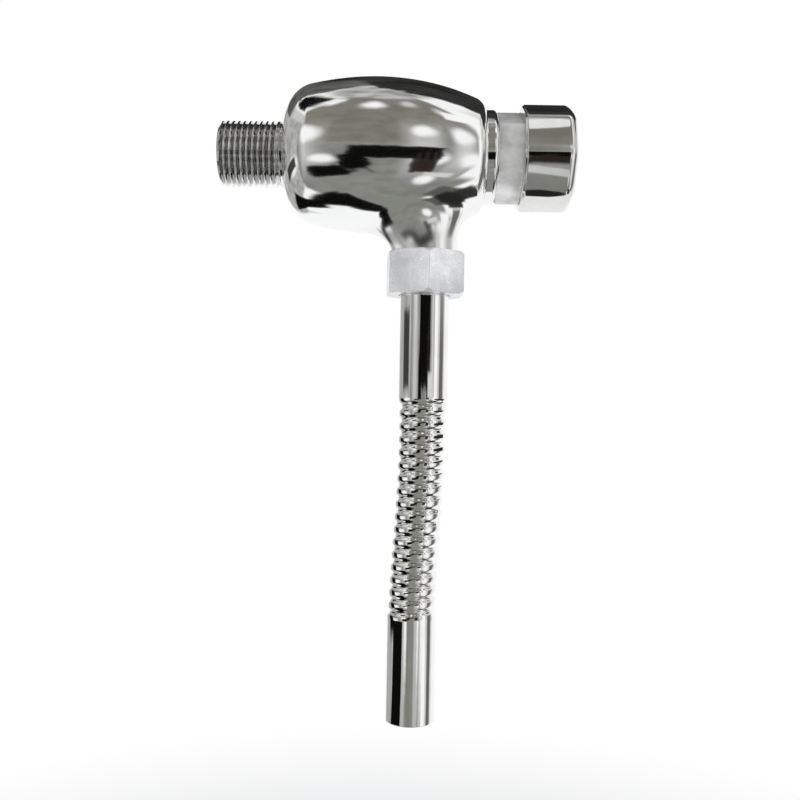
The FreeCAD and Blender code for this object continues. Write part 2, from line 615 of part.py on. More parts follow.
def make_pipe_gasket():
    """Make the rubber ring that seals the pipe under the branch's end."""
    return upright_tube(BRANCH_X, GASKET_END_Z, BRANCH_END_Z, PIPE_R + SEAL_GAP, BRANCH_THREAD_R - SEATED_GAP)


def make_slip_ring():
    """Make the hard ring between the gasket and the nut's collar."""
    return upright_tube(BRANCH_X, NUT_COLLAR_Z, GASKET_END_Z, PIPE_R + SEAL_GAP, BRANCH_THREAD_R - SEATED_GAP)


def make_pipe_upper():
    """Make the plain length of pipe from the branch's socket to the ribs."""
    return upright_tube(BRANCH_X, RIBS_TOP_Z, PIPE_TOP_Z, PIPE_R - PIPE_WALL, PIPE_R)


def rib_circle(step, radius):
    """Draw one circle of the ribbed stretch, square to its gently stepped centre line."""
    share = step / (RIB_STEPS * RIB_COUNT)
    side = PIPE_SIDE_STEP * share ** 3 * (4 - 3 * share)
    slope = PIPE_SIDE_STEP * 12 * share ** 2 * (1 - share) / RIBS_LENGTH
    centre = FreeCAD.Vector(BRANCH_X - side, 0, RIBS_TOP_Z - RIBS_LENGTH * share)
    way = FreeCAD.Vector(-slope, 0, -1).normalize()
    turn = FreeCAD.Rotation(AXIS_Y, AXIS_Y.cross(way), way, "ZXY")
    circle = Part.Wire(Part.makeCircle(radius))
    circle.Placement = FreeCAD.Placement(centre, turn)
    return circle


def rib_drop(step):
    """Give how far a circle lies under the plain pipe: rounded ribs, narrow grooves, flush ends."""
    if step in (0, RIB_STEPS * RIB_COUNT):
        return 0
    wave = abs(math.sin(math.pi * step / RIB_STEPS)) ** RIB_ROUNDNESS
    return RIB_CREST_DROP + (GROOVE_DEPTH - RIB_CREST_DROP) * wave


def make_pipe_bend_section():
    """Make the ribbed stretch of pipe that is bent by hand, with its bore."""
    steps = range(RIB_STEPS * RIB_COUNT + 1)
    bore_r = PIPE_R - PIPE_WALL - GROOVE_DEPTH
    outside = Part.makeLoft([rib_circle(step, PIPE_R - rib_drop(step)) for step in steps], True, True)
    bore = Part.makeLoft([rib_circle(step, bore_r) for step in steps[::RIB_STEPS]], True, True)
    return outside.cut(bore).Solids[0]


def make_pipe_lower():
    """Make the plain outlet end of the pipe."""
    pipe = upright_tube(PIPE_END_X, PIPE_END_Z, RIBS_END_Z, PIPE_R - PIPE_WALL, PIPE_R)
    wall_middle = 2 * math.pi * (PIPE_R - PIPE_WALL / 2)
    end_edges = [e for e in pipe.Edges if e.BoundBox.ZMax < PIPE_END_Z + EDGE_TOLERANCE]
    rim = [e for e in end_edges if e.Length > wall_middle]
    return as_solid(pipe.makeChamfer(PIPE_END_CHAMFER, rim))


PIECES = {
    "valve_body": make_valve_body,
    "bonnet": make_bonnet,
    "bonnet_o_ring": make_bonnet_o_ring,
    "cartridge_sleeve": make_cartridge_sleeve,
    "sleeve_o_ring": make_sleeve_o_ring,
    "sleeve_washer": make_sleeve_washer,
    "spindle_guide": make_spindle_guide,
    "gland_o_rings": make_gland_o_rings,
    "gland_nut": make_gland_nut,
    "return_spring": make_return_spring,
    "spindle": make_spindle,
    "valve_plug": make_valve_plug,
    "plug_washer": make_plug_washer,
    "plug_nut": make_plug_nut,
    "piston": make_piston,
    "piston_cup_seal": make_piston_cup_seal,
    "piston_circlips": make_piston_circlips,
    "button": make_button,
    "button_lock_nut": make_button_lock_nut,
    "outlet_nut": make_outlet_nut,
    "pipe_gasket": make_pipe_gasket,
    "slip_ring": make_slip_ring,
    "pipe_upper": make_pipe_upper,
    "pipe_bend_section": make_pipe_bend_section,
    "pipe_lower": make_pipe_lower,
}


def main():
    """Build every piece and write it under its own name."""
    os.makedirs("parts", exist_ok=True)
    for name, make in PIECES.items():
        shape = make()
        shape.exportStep("parts/%s.step" % name)
        print("%s: %.0f mm3" % (name, shape.Volume))


main()
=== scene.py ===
"""Dress the self-closing flush valve and light it as in the photograph.

The sizes of the pieces are millimetres and those of the studio metres. Every mesh is written in metres, in
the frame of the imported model: X along the barrel from the inlet face, Z up. Depths under the barrel's axis
are positive downwards.
"""
from __future__ import annotations

import logging
import math
from collections.abc import Callable, Sequence
from dataclasses import dataclass, field
from enum import Enum

import bmesh
import bpy
from mathutils import Matrix, Vector


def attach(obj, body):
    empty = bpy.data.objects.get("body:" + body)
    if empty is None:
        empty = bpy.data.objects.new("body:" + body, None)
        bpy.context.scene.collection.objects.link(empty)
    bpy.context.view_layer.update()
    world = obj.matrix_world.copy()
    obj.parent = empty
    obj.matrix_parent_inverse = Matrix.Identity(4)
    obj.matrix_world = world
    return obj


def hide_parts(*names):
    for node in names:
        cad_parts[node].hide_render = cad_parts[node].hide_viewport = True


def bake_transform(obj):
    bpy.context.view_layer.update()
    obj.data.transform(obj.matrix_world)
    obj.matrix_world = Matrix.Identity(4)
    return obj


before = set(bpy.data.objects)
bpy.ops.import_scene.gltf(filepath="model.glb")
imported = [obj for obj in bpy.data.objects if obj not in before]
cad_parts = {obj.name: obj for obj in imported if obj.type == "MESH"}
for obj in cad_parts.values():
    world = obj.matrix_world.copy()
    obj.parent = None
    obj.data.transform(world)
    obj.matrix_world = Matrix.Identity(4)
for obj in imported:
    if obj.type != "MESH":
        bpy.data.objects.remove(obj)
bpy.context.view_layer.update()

MM = 0.001
TURN = 2 * math.pi
ALONG = Vector((1, 0, 0))
WHITE = (1.0, 1.0, 1.0)
LOG = logging.getLogger("flush_valve")

# Points of an outline nearer than TOUCHING, in millimetres, are one. A draft welds points that fall on one
# step of its grid, and Blender those that are nearer than WELD, in metres.
TOUCHING = 1e-6
GRID_STEPS_PER_MM = 1e4
WELD = 1e-7

# How finely an outline's rounded corner is divided.
ARC_STEP = math.radians(9)
LEAST_ARC_STEPS = 3

# A softened CAD node: what counts as flat, what counts as an edge, and the faces across its rounding.
FLAT_ANGLE = math.radians(0.4)
EDGE_ANGLE = math.radians(28)
EDGE_STEPS = 3

# How a noise parts into spots.
SPOT_CONTRAST = 2.4
SPOT_START = 0.7

Pair = tuple[float, float]
Tone = tuple[float, float, float]
Place = Callable[[float, float, int], Vector]


class Body(Enum):
    """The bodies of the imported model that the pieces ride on."""

    VALVE = "valve"
    BUTTON = "push_button"
    PIPE = "flush_pipe"
    PIPE_END = "pipe_end"


class Slot(Enum):
    """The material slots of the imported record."""

    POLISHED = "polished_chrome"
    SATIN = "satin_chrome"
    BRASS = "bare_brass"
    STEEL = "stainless_steel"
    RUBBER = "black_rubber"
    PLASTIC = "white_plastic"
    FIBRE = "red_fibre"


class CardShape(Enum):
    """How a card's outline runs: a sheet, a disc in its sheet, or a cap that starts at the pole."""

    SHEET = "sheet"
    DISC = "disc"
    CAP = "cap"


class Lie(Enum):
    """How a turned piece lies: level along the barrel, or hanging under it."""

    LEVEL = "level"
    HANGING = "hanging"


class Term:
    """A value in a node tree, on which sums and products add Math nodes."""

    def __init__(self, maker: NodeMaker, socket: bpy.types.NodeSocket) -> None:
        """Wrap an output socket of the maker's tree."""
        self.maker = maker
        self.socket = socket

    def __add__(self, other: Term | float) -> Term:
        """Add."""
        return self.maker.math("ADD", self, other)

    def __radd__(self, other: float) -> Term:
        """Add to a number."""
        return self.maker.math("ADD", other, self)

    def __sub__(self, other: Term | float) -> Term:
        """Take away."""
        return self.maker.math("SUBTRACT", self, other)

    def __rsub__(self, other: float) -> Term:
        """Take from a number."""
        return self.maker.math("SUBTRACT", other, self)

    def __mul__(self, other: Term | float) -> Term:
        """Multiply."""
        return self.maker.math("MULTIPLY", self, other)

    def __rmul__(self, other: float) -> Term:
        """Multiply a number."""
        return self.maker.math("MULTIPLY", other, self)

    def __truediv__(self, other: Term | float) -> Term:
        """Divide."""
        return self.maker.math("DIVIDE", self, other)

    def __pow__(self, other: Term | float) -> Term:
        """Raise to a power."""
        return self.maker.math("POWER", self, other)

    def __neg__(self) -> Term:
        """Change the sign."""
        return self.maker.math("MULTIPLY", self, -1.0)

    def __gt__(self, other: Term | float) -> Term:
        """Give 1 where this is the larger, else 0."""
        return self.maker.math("GREATER_THAN", self, other)


class NodeMaker:
    """Adds nodes to one tree, of a material, the world or Geometry Nodes."""

    def __init__(self, tree: bpy.types.NodeTree) -> None:
        """Work on a tree."""
        self.tree = tree

    def add(self, kind: str, settings: dict | None = None, sockets: dict | None = None) -> bpy.types.Node:
        """Add a node.

        Args:
            kind: The node's type name.
            settings: Its settings.
            sockets: A value, a Term or a node for each named or numbered input.

        Returns:
            The new node.
        """
        node = self.tree.nodes.new(kind)
        for name, value in (settings or {}).items():
            setattr(node, name, value)
        for name, value in (sockets or {}).items():
            self.feed(node.inputs[name], value)
        return node

    def feed(self, socket: bpy.types.NodeSocket, value: object) -> None:
        """Link a Term or a node to a socket, or set the socket's own value.

        Args:
            socket: The input.
            value: What it takes.
        """
        if isinstance(value, Term):
            self.tree.links.new(value.socket, socket)
        elif isinstance(value, bpy.types.Node):
            self.tree.links.new(value.outputs[0], socket)
        else:
            socket.default_value = value

    def term(self, node: bpy.types.Node, output: int | str = 0) -> Term:
        """Wrap one of a node's outputs."""
        return Term(self, node.outputs[output])

    def math(self, operation: str, *values: Term | float) -> Term:
        """Add a Math node on one to three values."""
        node = self.add("ShaderNodeMath", {"operation": operation}, dict(enumerate(values)))
        return self.term(node)

    def within(self, value: Term) -> Term:
        """Keep a value from 0 to 1."""
        return self.math("MINIMUM", self.math("MAXIMUM", value, 0.0), 1.0)

    def smooth(self, value: Term) -> Term:
        """Ease a value from 0 to 1 in and out."""
        kept = self.within(value)
        return kept * kept * (3.0 - 2.0 * kept)

    def spots(self, noise: Term) -> Term:
        """Part a noise into soft spots of 0 and 1."""
        return self.smooth(noise * SPOT_CONTRAST - SPOT_START)

    def split(self, place: Term) -> tuple[Term, Term, Term]:
        """Split a place into its X, Y and Z."""
        node = self.add("ShaderNodeSeparateXYZ", None, {0: place})
        return self.term(node, "X"), self.term(node, "Y"), self.term(node, "Z")

    def mix(self, share: Term, first: Tone | Term, second: Tone | Term) -> Term:
        """Mix two tones.

        Args:
            share: 0 for the first tone and 1 for the second.
            first: The first tone.
            second: The second tone.

        Returns:
            The mixed tone.
        """
        tones = [tone if isinstance(tone, Term) else (*tone, 1.0) for tone in (first, second)]
        sockets = {0: share, 6: tones[0], 7: tones[1]}
        return self.term(self.add("ShaderNodeMix", {"data_type": "RGBA"}, sockets), 2)


def emptied(block: bpy.types.Material | bpy.types.World) -> NodeMaker:
    """Empty a material's or a world's node tree.

    Args:
        block: The material or the world.

    Returns:
        A maker that works on the tree.
    """
    block.use_nodes = True
    block.node_tree.nodes.clear()
    return NodeMaker(block.node_tree)


def put_in_scene(name: str, data: bpy.types.ID) -> bpy.types.Object:
    """Make an object and link it to the scene.

    Args:
        name: Its name.
        data: Its mesh, lamp or camera.

    Returns:
        The object.
    """
    made = bpy.data.objects.new(name, data)
    bpy.context.scene.collection.objects.link(made)
    return made


def spread(start: float, end: float, steps: int) -> list[float]:
    """Divide a stretch evenly, and give its ends too."""
    return [start + (end - start) * k / steps for k in range(steps + 1)]


def column_ways(columns: int) -> list[Pair]:
    """Give the cosine and the sine of each column's angle."""
    return [(math.cos(TURN * k / columns), math.sin(TURN * k / columns)) for k in range(columns)]


def studio_way(azimuth: float, height: float) -> Vector:
    """Give the direction for an azimuth and a height.

    Args:
        azimuth: Degrees from the camera's side, growing towards the button.
        height: Degrees upwards.

    Returns:
        The direction, one long.
    """
    turned, raised = math.radians(azimuth), math.radians(height)
    level = math.cos(raised)
    return Vector((math.sin(turned) * level, -math.cos(turned) * level, math.sin(raised)))


@dataclass(frozen=True)
class Finish:
    """How a surface looks: its tones, gloss, and the unevenness that the maker's tools left.

    The waves are broad swells that bend a reflection, and the grain is fine. The polish may grow duller under
    a depth below the barrel's axis, and the tone darker towards that axis: painted shade, as in the grooves
    of a thread. Sizes, heights and depths are millimetres.
    """

    slot: Slot
    tone: Tone
    second_tone: Tone
    roughness: float
    roughness_spread: float = 0.0
    metallic: float = 1.0
    patch_size: float = 6.0
    wave_size: float = 18.0
    wave_height: float = 0.0
    grain_size: float = 0.4
    grain_height: float = 0.0
    grain_stretch: Tone = (1.0, 1.0, 1.0)
    dull_depth: float = 0.0
    dull_gain: float = 0.0
    dull_fade: float = 6.0
    # Painted shade in a thread's grooves: below the radius groove_r the tone darkens towards the axis, over
    # groove_depth.
    groove_r: float = 0.0
    groove_depth: float = 0.0
    painted_groove_shade_tone: Tone = (0.42, 0.42, 0.42)
    patch_detail: float = 4.0
    streak_share: float = 0.27
    streak_detail: float = 5.0
    wave_detail: float = 1.5
    grain_detail: float = 3.0
    noise_roughness: float = 0.55
    name: str = ""

    def material(self) -> bpy.types.Material:
        """Make the material, once.

        Returns:
            The material, or the one that this finish already has.
        """
        label = self.name or self.slot.value + "_finish"
        known = bpy.data.materials.get(label)
        if known:
            return known
        made = bpy.data.materials.new(label)
        maker = emptied(made)
        coordinates = maker.term(maker.add("ShaderNodeTexCoord"), "Object")
        patches = self._noise(maker, coordinates, self.patch_size, self.patch_detail)
        tone = maker.mix(maker.spots(patches), self.tone, self.second_tone)
        # Painted shade: the tone darkens towards the axis, into the grooves of a thread.
        if self.groove_depth:
            _, y, z = maker.split(coordinates)
            out = maker.math("SQRT", y * y + z * z) / MM - self.groove_r
            tone = maker.mix(maker.smooth(out / self.groove_depth), self.painted_groove_shade_tone, tone)
        streaks = self._noise(maker, coordinates, self.patch_size * self.streak_share, self.streak_detail)
        roughness = self.roughness + self.roughness_spread * (patches + streaks - 1.0)
        if self.dull_gain:
            depth = maker.split(coordinates)[2] / -MM - self.dull_depth
            roughness = roughness + maker.smooth(depth / self.dull_fade) * self.dull_gain
        shader = maker.add("ShaderNodeBsdfPrincipled", None, {
            "Base Color": tone, "Metallic": self.metallic, "Roughness": maker.within(roughness)})
        normal = self._bumps(maker, coordinates)
        if normal:
            maker.feed(shader.inputs["Normal"], normal)
        maker.add("ShaderNodeOutputMaterial", None, {"Surface": shader})
        return made

    def _noise(self, maker: NodeMaker, coordinates: Term, size: float, detail: float) -> Term:
        """Add a noise whose features are about as large as size."""
        return maker.term(maker.add("ShaderNodeTexNoise", None, {
            "Vector": coordinates, "Scale": 1.0 / (size * MM), "Detail": detail,
            "Roughness": self.noise_roughness}))

    def _bumps(self, maker: NodeMaker, coordinates: Term) -> bpy.types.Node | None:
        """Chain the bumps of the waves and of the grain.

        Args:
            maker: The maker of the material's nodes.
            coordinates: The place on the object.

        Returns:
            The last bump, or None where the surface is even.
        """
        bump = None
        if self.wave_height:
            height = self._noise(maker, coordinates, self.wave_size, self.wave_detail)
            bump = maker.add("ShaderNodeBump", None, {"Distance": self.wave_height * MM, "Height": height})
        if self.grain_height:
            stretched = maker.add("ShaderNodeMapping", None,
                                  {"Vector": coordinates, "Scale": self.grain_stretch})
            height = self._noise(maker, maker.term(stretched), self.grain_size, self.grain_detail)
            sockets = {"Distance": self.grain_height * MM, "Height": height}
            if bump:
                sockets["Normal"] = bump
            bump = maker.add("ShaderNodeBump", None, sockets)
        return bump


CHROME = (0.93, 0.935, 0.94)
CAST_CHROME = Finish(
    Slot.POLISHED, CHROME, (0.88, 0.88, 0.88), 0.075, 0.03, patch_size=14.0, wave_size=13.0, wave_height=0.12,
    grain_size=0.9, grain_height=0.0012, dull_depth=21.0, dull_gain=0.16, name="polished_chrome_on_casting")
# The thread's grooves get painted shade: the tone darkens below a radius of 9.3 mm.
THREAD_CHROME = Finish(
    Slot.POLISHED, (0.96, 0.96, 0.96), (0.56, 0.55, 0.54), 0.05, 0.02, patch_size=2.8, groove_r=9.3,
    groove_depth=0.8, name="chrome_on_thread")
TUBE_CHROME = Finish(
    Slot.POLISHED, CHROME, (0.88, 0.87, 0.86), 0.05, 0.03, patch_size=9.0, wave_size=7.0, wave_height=0.035,
    grain_size=0.8, grain_height=0.001, name="polished_chrome_on_tube")
BUTTON_CHROME = Finish(
    Slot.POLISHED, (0.80, 0.80, 0.80), (0.70, 0.70, 0.68), 0.06, 0.03, patch_size=9.0, wave_size=9.0,
    wave_height=0.03, name="polished_chrome_on_button")
NUT_CHROME = Finish(
    Slot.SATIN, (0.99, 0.99, 1.0), (0.76, 0.77, 0.79), 0.28, 0.14, metallic=0.5, patch_size=6.0,
    grain_size=0.6, grain_height=0.0012, name="satin_chrome_on_nut")
BONNET_CHROME = Finish(
    Slot.SATIN, (0.98, 0.98, 0.97), (0.64, 0.64, 0.63), 0.24, 0.12, metallic=0.45, patch_size=6.5,
    grain_size=0.6, grain_height=0.0015, name="satin_chrome_on_bonnet")
BRASS = Finish(
    Slot.BRASS, (0.72, 0.52, 0.22), (0.60, 0.41, 0.16), 0.24, 0.10, grain_height=0.004,
    grain_stretch=(6.0, 1.0, 1.0))
STEEL = Finish(Slot.STEEL, (0.62, 0.61, 0.59), (0.52, 0.51, 0.49), 0.20, 0.08, grain_height=0.002)
RUBBER = Finish(
    Slot.RUBBER, (0.018, 0.018, 0.019), (0.030, 0.029, 0.028), 0.62, 0.12, metallic=0.0, grain_height=0.006)
PLASTIC = Finish(
    Slot.PLASTIC, (0.80, 0.79, 0.75), (0.74, 0.73, 0.68), 0.38, 0.08, metallic=0.0, grain_height=0.002)
FIBRE = Finish(
    Slot.FIBRE, (0.36, 0.07, 0.04), (0.27, 0.05, 0.03), 0.75, 0.10, metallic=0.0, grain_height=0.010)


@dataclass
class Outline:
    """A line of (along, out) points round a section, with the metal on its right.

    Each stretch between two points keeps the outward direction at both of its ends, so a corner stays crisp
    and a round stays smooth.
    """

    points: list[Pair] = field(default_factory=list)
    outs: list[tuple[Pair, Pair]] = field(default_factory=list)

    def run(self, samples: Sequence[tuple[Pair, Pair]]) -> Outline:
        """Go on through samples of a smooth line.

        Args:
            samples: Points with their outward directions.

        Returns:
            This outline.
        """
        first = samples[0][0]
        if not self.points:
            self.points.append(first)
        elif math.dist(self.points[-1], first) > TOUCHING:
            self._straight(first)
        for (_, out), (point, next_out) in zip(samples, samples[1:]):
            self.points.append(point)
            self.outs.append((out, next_out))
        return self

    def trace(self, *corners: tuple[float, float, float]) -> Outline:
        """Go straight from corner to corner.

        Args:
            corners: Each (along, out, round).

        Returns:
            This outline.
        """
        path = [(*self.points[-1], 0.0)] if self.points else []
        path += corners
        if not self.points:
            self.points.append(path[0][:2])
        for i, (along, out, rounding) in enumerate(path[1:], 1):
            if rounding and i + 1 < len(path):
                self.run(self._corner(path[i - 1][:2], (along, out), path[i + 1][:2], rounding))
            else:
                self._straight((along, out))
        return self

    def _straight(self, point: Pair) -> None:
        """Add a straight stretch.

        Args:
            point: Where it ends, as (along, out).
        """
        (u, v), (next_u, next_v) = self.points[-1], point
        length = math.dist((u, v), point)
        if length > TOUCHING:
            out = (-(next_v - v) / length, (next_u - u) / length)
            self.points.append(point)
            self.outs.append((out, out))

    @staticmethod
    def _corner(before: Pair, corner: Pair, after: Pair, rounding: float) -> list[tuple[Pair, Pair]]:
        """Sample the arc that rounds a corner.

        Args:
            before: The point before the corner, as (along, out).
            corner: The corner.
            after: The point after it.
            rounding: The arc's radius.

        Returns:
            Points with their outward directions.
        """
        way = (Vector(corner) - Vector(before)).normalized()
        next_way = (Vector(after) - Vector(corner)).normalized()
        turn = math.atan2(way.x * next_way.y - way.y * next_way.x, way.dot(next_way))
        side = 1.0 if turn < 0 else -1.0
        out = Vector((-way.y, way.x))
        start = Vector(corner) - way * (rounding * math.tan(abs(turn) / 2))
        centre = start - out * (rounding * side)
        steps = max(LEAST_ARC_STEPS, math.ceil(abs(turn) / ARC_STEP))
        samples = []
        for angle in spread(0.0, turn, steps):
            spun = Vector((out.x * math.cos(angle) - out.y * math.sin(angle),
                           out.x * math.sin(angle) + out.y * math.cos(angle)))
            samples.append((tuple(centre + spun * (rounding * side)), tuple(spun)))
        return samples


def arc_samples(centre: Pair, radius: float, start: float, end: float, steps: int) -> list[tuple[Pair, Pair]]:
    """Sample an arc with the metal inside it.

    Args:
        centre: Its centre, as (along, out).
        radius: Its radius.
        start: The angle at which it starts, in radians from along towards out.
        end: The angle at which it ends.
        steps: How many stretches it has.

    Returns:
        Points with their outward directions.
    """
    samples = []
    for angle in spread(start, end, steps):
        out = (math.cos(angle), math.sin(angle))
        samples.append(((centre[0] + radius * out[0], centre[1] + radius * out[1]), out))
    return samples


class Draft:
    """A mesh in the making: welded points, faces, and the outward direction at each corner of a face."""

    def __init__(self) -> None:
        """Start with nothing."""
        self.points: list[Vector] = []
        self.faces: list[list[int]] = []
        self.outs: list[Vector] = []
        self._known: dict[tuple[int, ...], int] = {}

    def ring(self, points: Sequence[Vector]) -> list[int]:
        """Add points, welded to those that are there.

        Args:
            points: The points.

        Returns:
            Their numbers in the draft.
        """
        numbers = []
        for point in points:
            key = tuple(round(c * GRID_STEPS_PER_MM) for c in point)
            if key not in self._known:
                self._known[key] = len(self.points)
                self.points.append(point)
            numbers.append(self._known[key])
        return numbers

    def strip(self, first: list[int], first_outs: Sequence[Vector], second: list[int],
              second_outs: Sequence[Vector], skip: frozenset[int] = frozenset()) -> None:
        """Join two closed rings by faces.

        Args:
            first: The numbers of the first ring's points.
            first_outs: The outward directions there.
            second: The second ring's points.
            second_outs: The outward directions there.
            skip: Columns that stay open.
        """
        for k in range(len(first)):
            if k not in skip:
                n = (k + 1) % len(first)
                self.face([first[k], second[k], second[n], first[n]],
                          [first_outs[k], second_outs[k], second_outs[n], first_outs[n]])

    def face(self, corners: list[int], outs: list[Vector]) -> None:
        """Add a face, without doubled corners, turned to face outwards.

        Args:
            corners: The numbers of its points, in order round it.
            outs: The outward direction at each corner.
        """
        kept = [i for i in range(len(corners)) if corners[i] != corners[i - 1]]
        if len({corners[i] for i in kept}) < 3:
            return
        a, b, c = (self.points[corners[i]] for i in (kept[0], kept[1], kept[2]))
        facing = (b - a).cross(c - b)
        if len(kept) == 4:
            d = self.points[corners[kept[3]]]
            facing = (c - a).cross(d - b)
        if facing.dot(sum((outs[i] for i in kept), Vector())) < 0:
            kept.reverse()
        self.faces.append([corners[i] for i in kept])
        self.outs.extend(outs[i] for i in kept)

    def sweep(self, outline: Outline, place: Place, point_way: Place, columns: int,
              skipped: dict[int, frozenset[int]] | None = None) -> list[list[int]]:
        """Carry an outline round.

        Args:
            outline: The outline.
            place: Gives the point for along, out and column.
            point_way: Gives the direction for an outward direction's two parts and a column.
            columns: How many columns there are.
            skipped: The open columns of a stretch, by the stretch's number.

        Returns:
            The rings' points, one ring for each point of the outline.
        """
        rings = [self.ring([place(u, v, k) for k in range(columns)]) for u, v in outline.points]
        for i, (start, end) in enumerate(outline.outs):
            self.strip(rings[i], [point_way(*start, k) for k in range(columns)], rings[i + 1],
                       [point_way(*end, k) for k in range(columns)], (skipped or {}).get(i, frozenset()))
        return rings

    def turn(self, outline: Outline, lie: Lie, axis_x: float = 0.0, columns: int = 96,
             skipped: dict[int, frozenset[int]] | None = None) -> list[list[int]]:
        """Turn an outline about the barrel's axis or about an upright one.

        Args:
            outline: The outline.
            lie: Which of the two.
            axis_x: The upright axis' place along the barrel.
            columns: How many columns there are.
            skipped: The open columns of a stretch, by the stretch's number.

        Returns:
            The rings' points, one ring for each point of the outline.
        """
        ways = column_ways(columns)

        def laid(u: float, v: float, k: int, shift: float = 0.0) -> Vector:
            """Lay a pair of the outline at a column."""
            cosine, sine = ways[k]
            return Vector((u, v * sine, -v * cosine) if lie is Lie.LEVEL
                          else (shift + v * cosine, v * sine, -u))

        return self.sweep(outline, lambda u, v, k: laid(u, v, k, axis_x), laid, columns, skipped)

    def mesh(self, name: str) -> bpy.types.Mesh:
        """Write the mesh in metres, with its outward directions.

        Args:
            name: The mesh's name.

        Returns:
            The mesh.
        """
        used = sorted({corner for face in self.faces for corner in face})
        new_number = {old: new for new, old in enumerate(used)}
        made = bpy.data.meshes.new(name)
        faces = [[new_number[corner] for corner in face] for face in self.faces]
        made.from_pydata([self.points[i] * MM for i in used], [], faces)
        made.polygons.foreach_set("use_smooth", [True] * len(self.faces))
        made.normals_split_custom_set([out.normalized() for out in self.outs])
        return made


def show(name: str, mesh: bpy.types.Mesh, finish: Finish, body: Body | None, *nodes: str) -> bpy.types.Object:
    """Put a finished mesh in the scene.

    Args:
        name: The piece's name.
        mesh: Its mesh, in metres.
        finish: Its finish.
        body: The body that it rides on, or None, which leaves it unattached.
        nodes: The CAD nodes that it stands for.

    Returns:
        The piece.
    """
    mesh.materials.clear()
    mesh.materials.append(finish.material())
    piece = put_in_scene(name, mesh)
    if body:
        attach(piece, body.value)
    if nodes:
        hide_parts(*nodes)
    LOG.info("%s: %d faces", name, len(mesh.polygons))
    return piece


def plain_mesh(carrier: bpy.types.Object, name: str) -> bpy.types.Mesh:
    """Turn a modified object into a plain mesh and remove the object.

    Args:
        carrier: The object.
        name: The mesh's name.

    Returns:
        The mesh.
    """
    evaluated = carrier.evaluated_get(bpy.context.evaluated_depsgraph_get())
    made = bpy.data.meshes.new_from_object(evaluated)
    made.name = name
    bpy.data.objects.remove(carrier)
    return made


def softened(node: str, finish: Finish, edge: float, body: Body) -> bpy.types.Object:
    """Copy a CAD node, weld its triangles and round its edges.

    Args:
        node: The CAD node.
        finish: Its finish.
        edge: The width of the rounding.
        body: The body that it rides on.

    Returns:
        The piece that stands for the node.
    """
    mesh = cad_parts[node].data.copy()
    work = bmesh.new()
    work.from_mesh(mesh)
    bmesh.ops.remove_doubles(work, verts=work.verts, dist=WELD)
    bmesh.ops.dissolve_limit(work, angle_limit=FLAT_ANGLE, verts=work.verts, edges=work.edges)
    for face in work.faces:
        face.smooth = True
    work.to_mesh(mesh)
    work.free()
    mesh.name = node + "_with_soft_edges"
    carrier = put_in_scene("carrier", mesh)
    bevel = carrier.modifiers.new("edges", "BEVEL")
    bevel.width = edge * MM
    bevel.segments = EDGE_STEPS
    bevel.limit_method = "ANGLE"
    bevel.angle_limit = EDGE_ANGLE
    bevel.harden_normals = True
    return show(node + "_dressed", plain_mesh(carrier, node + "_dressed"), finish, body, node)


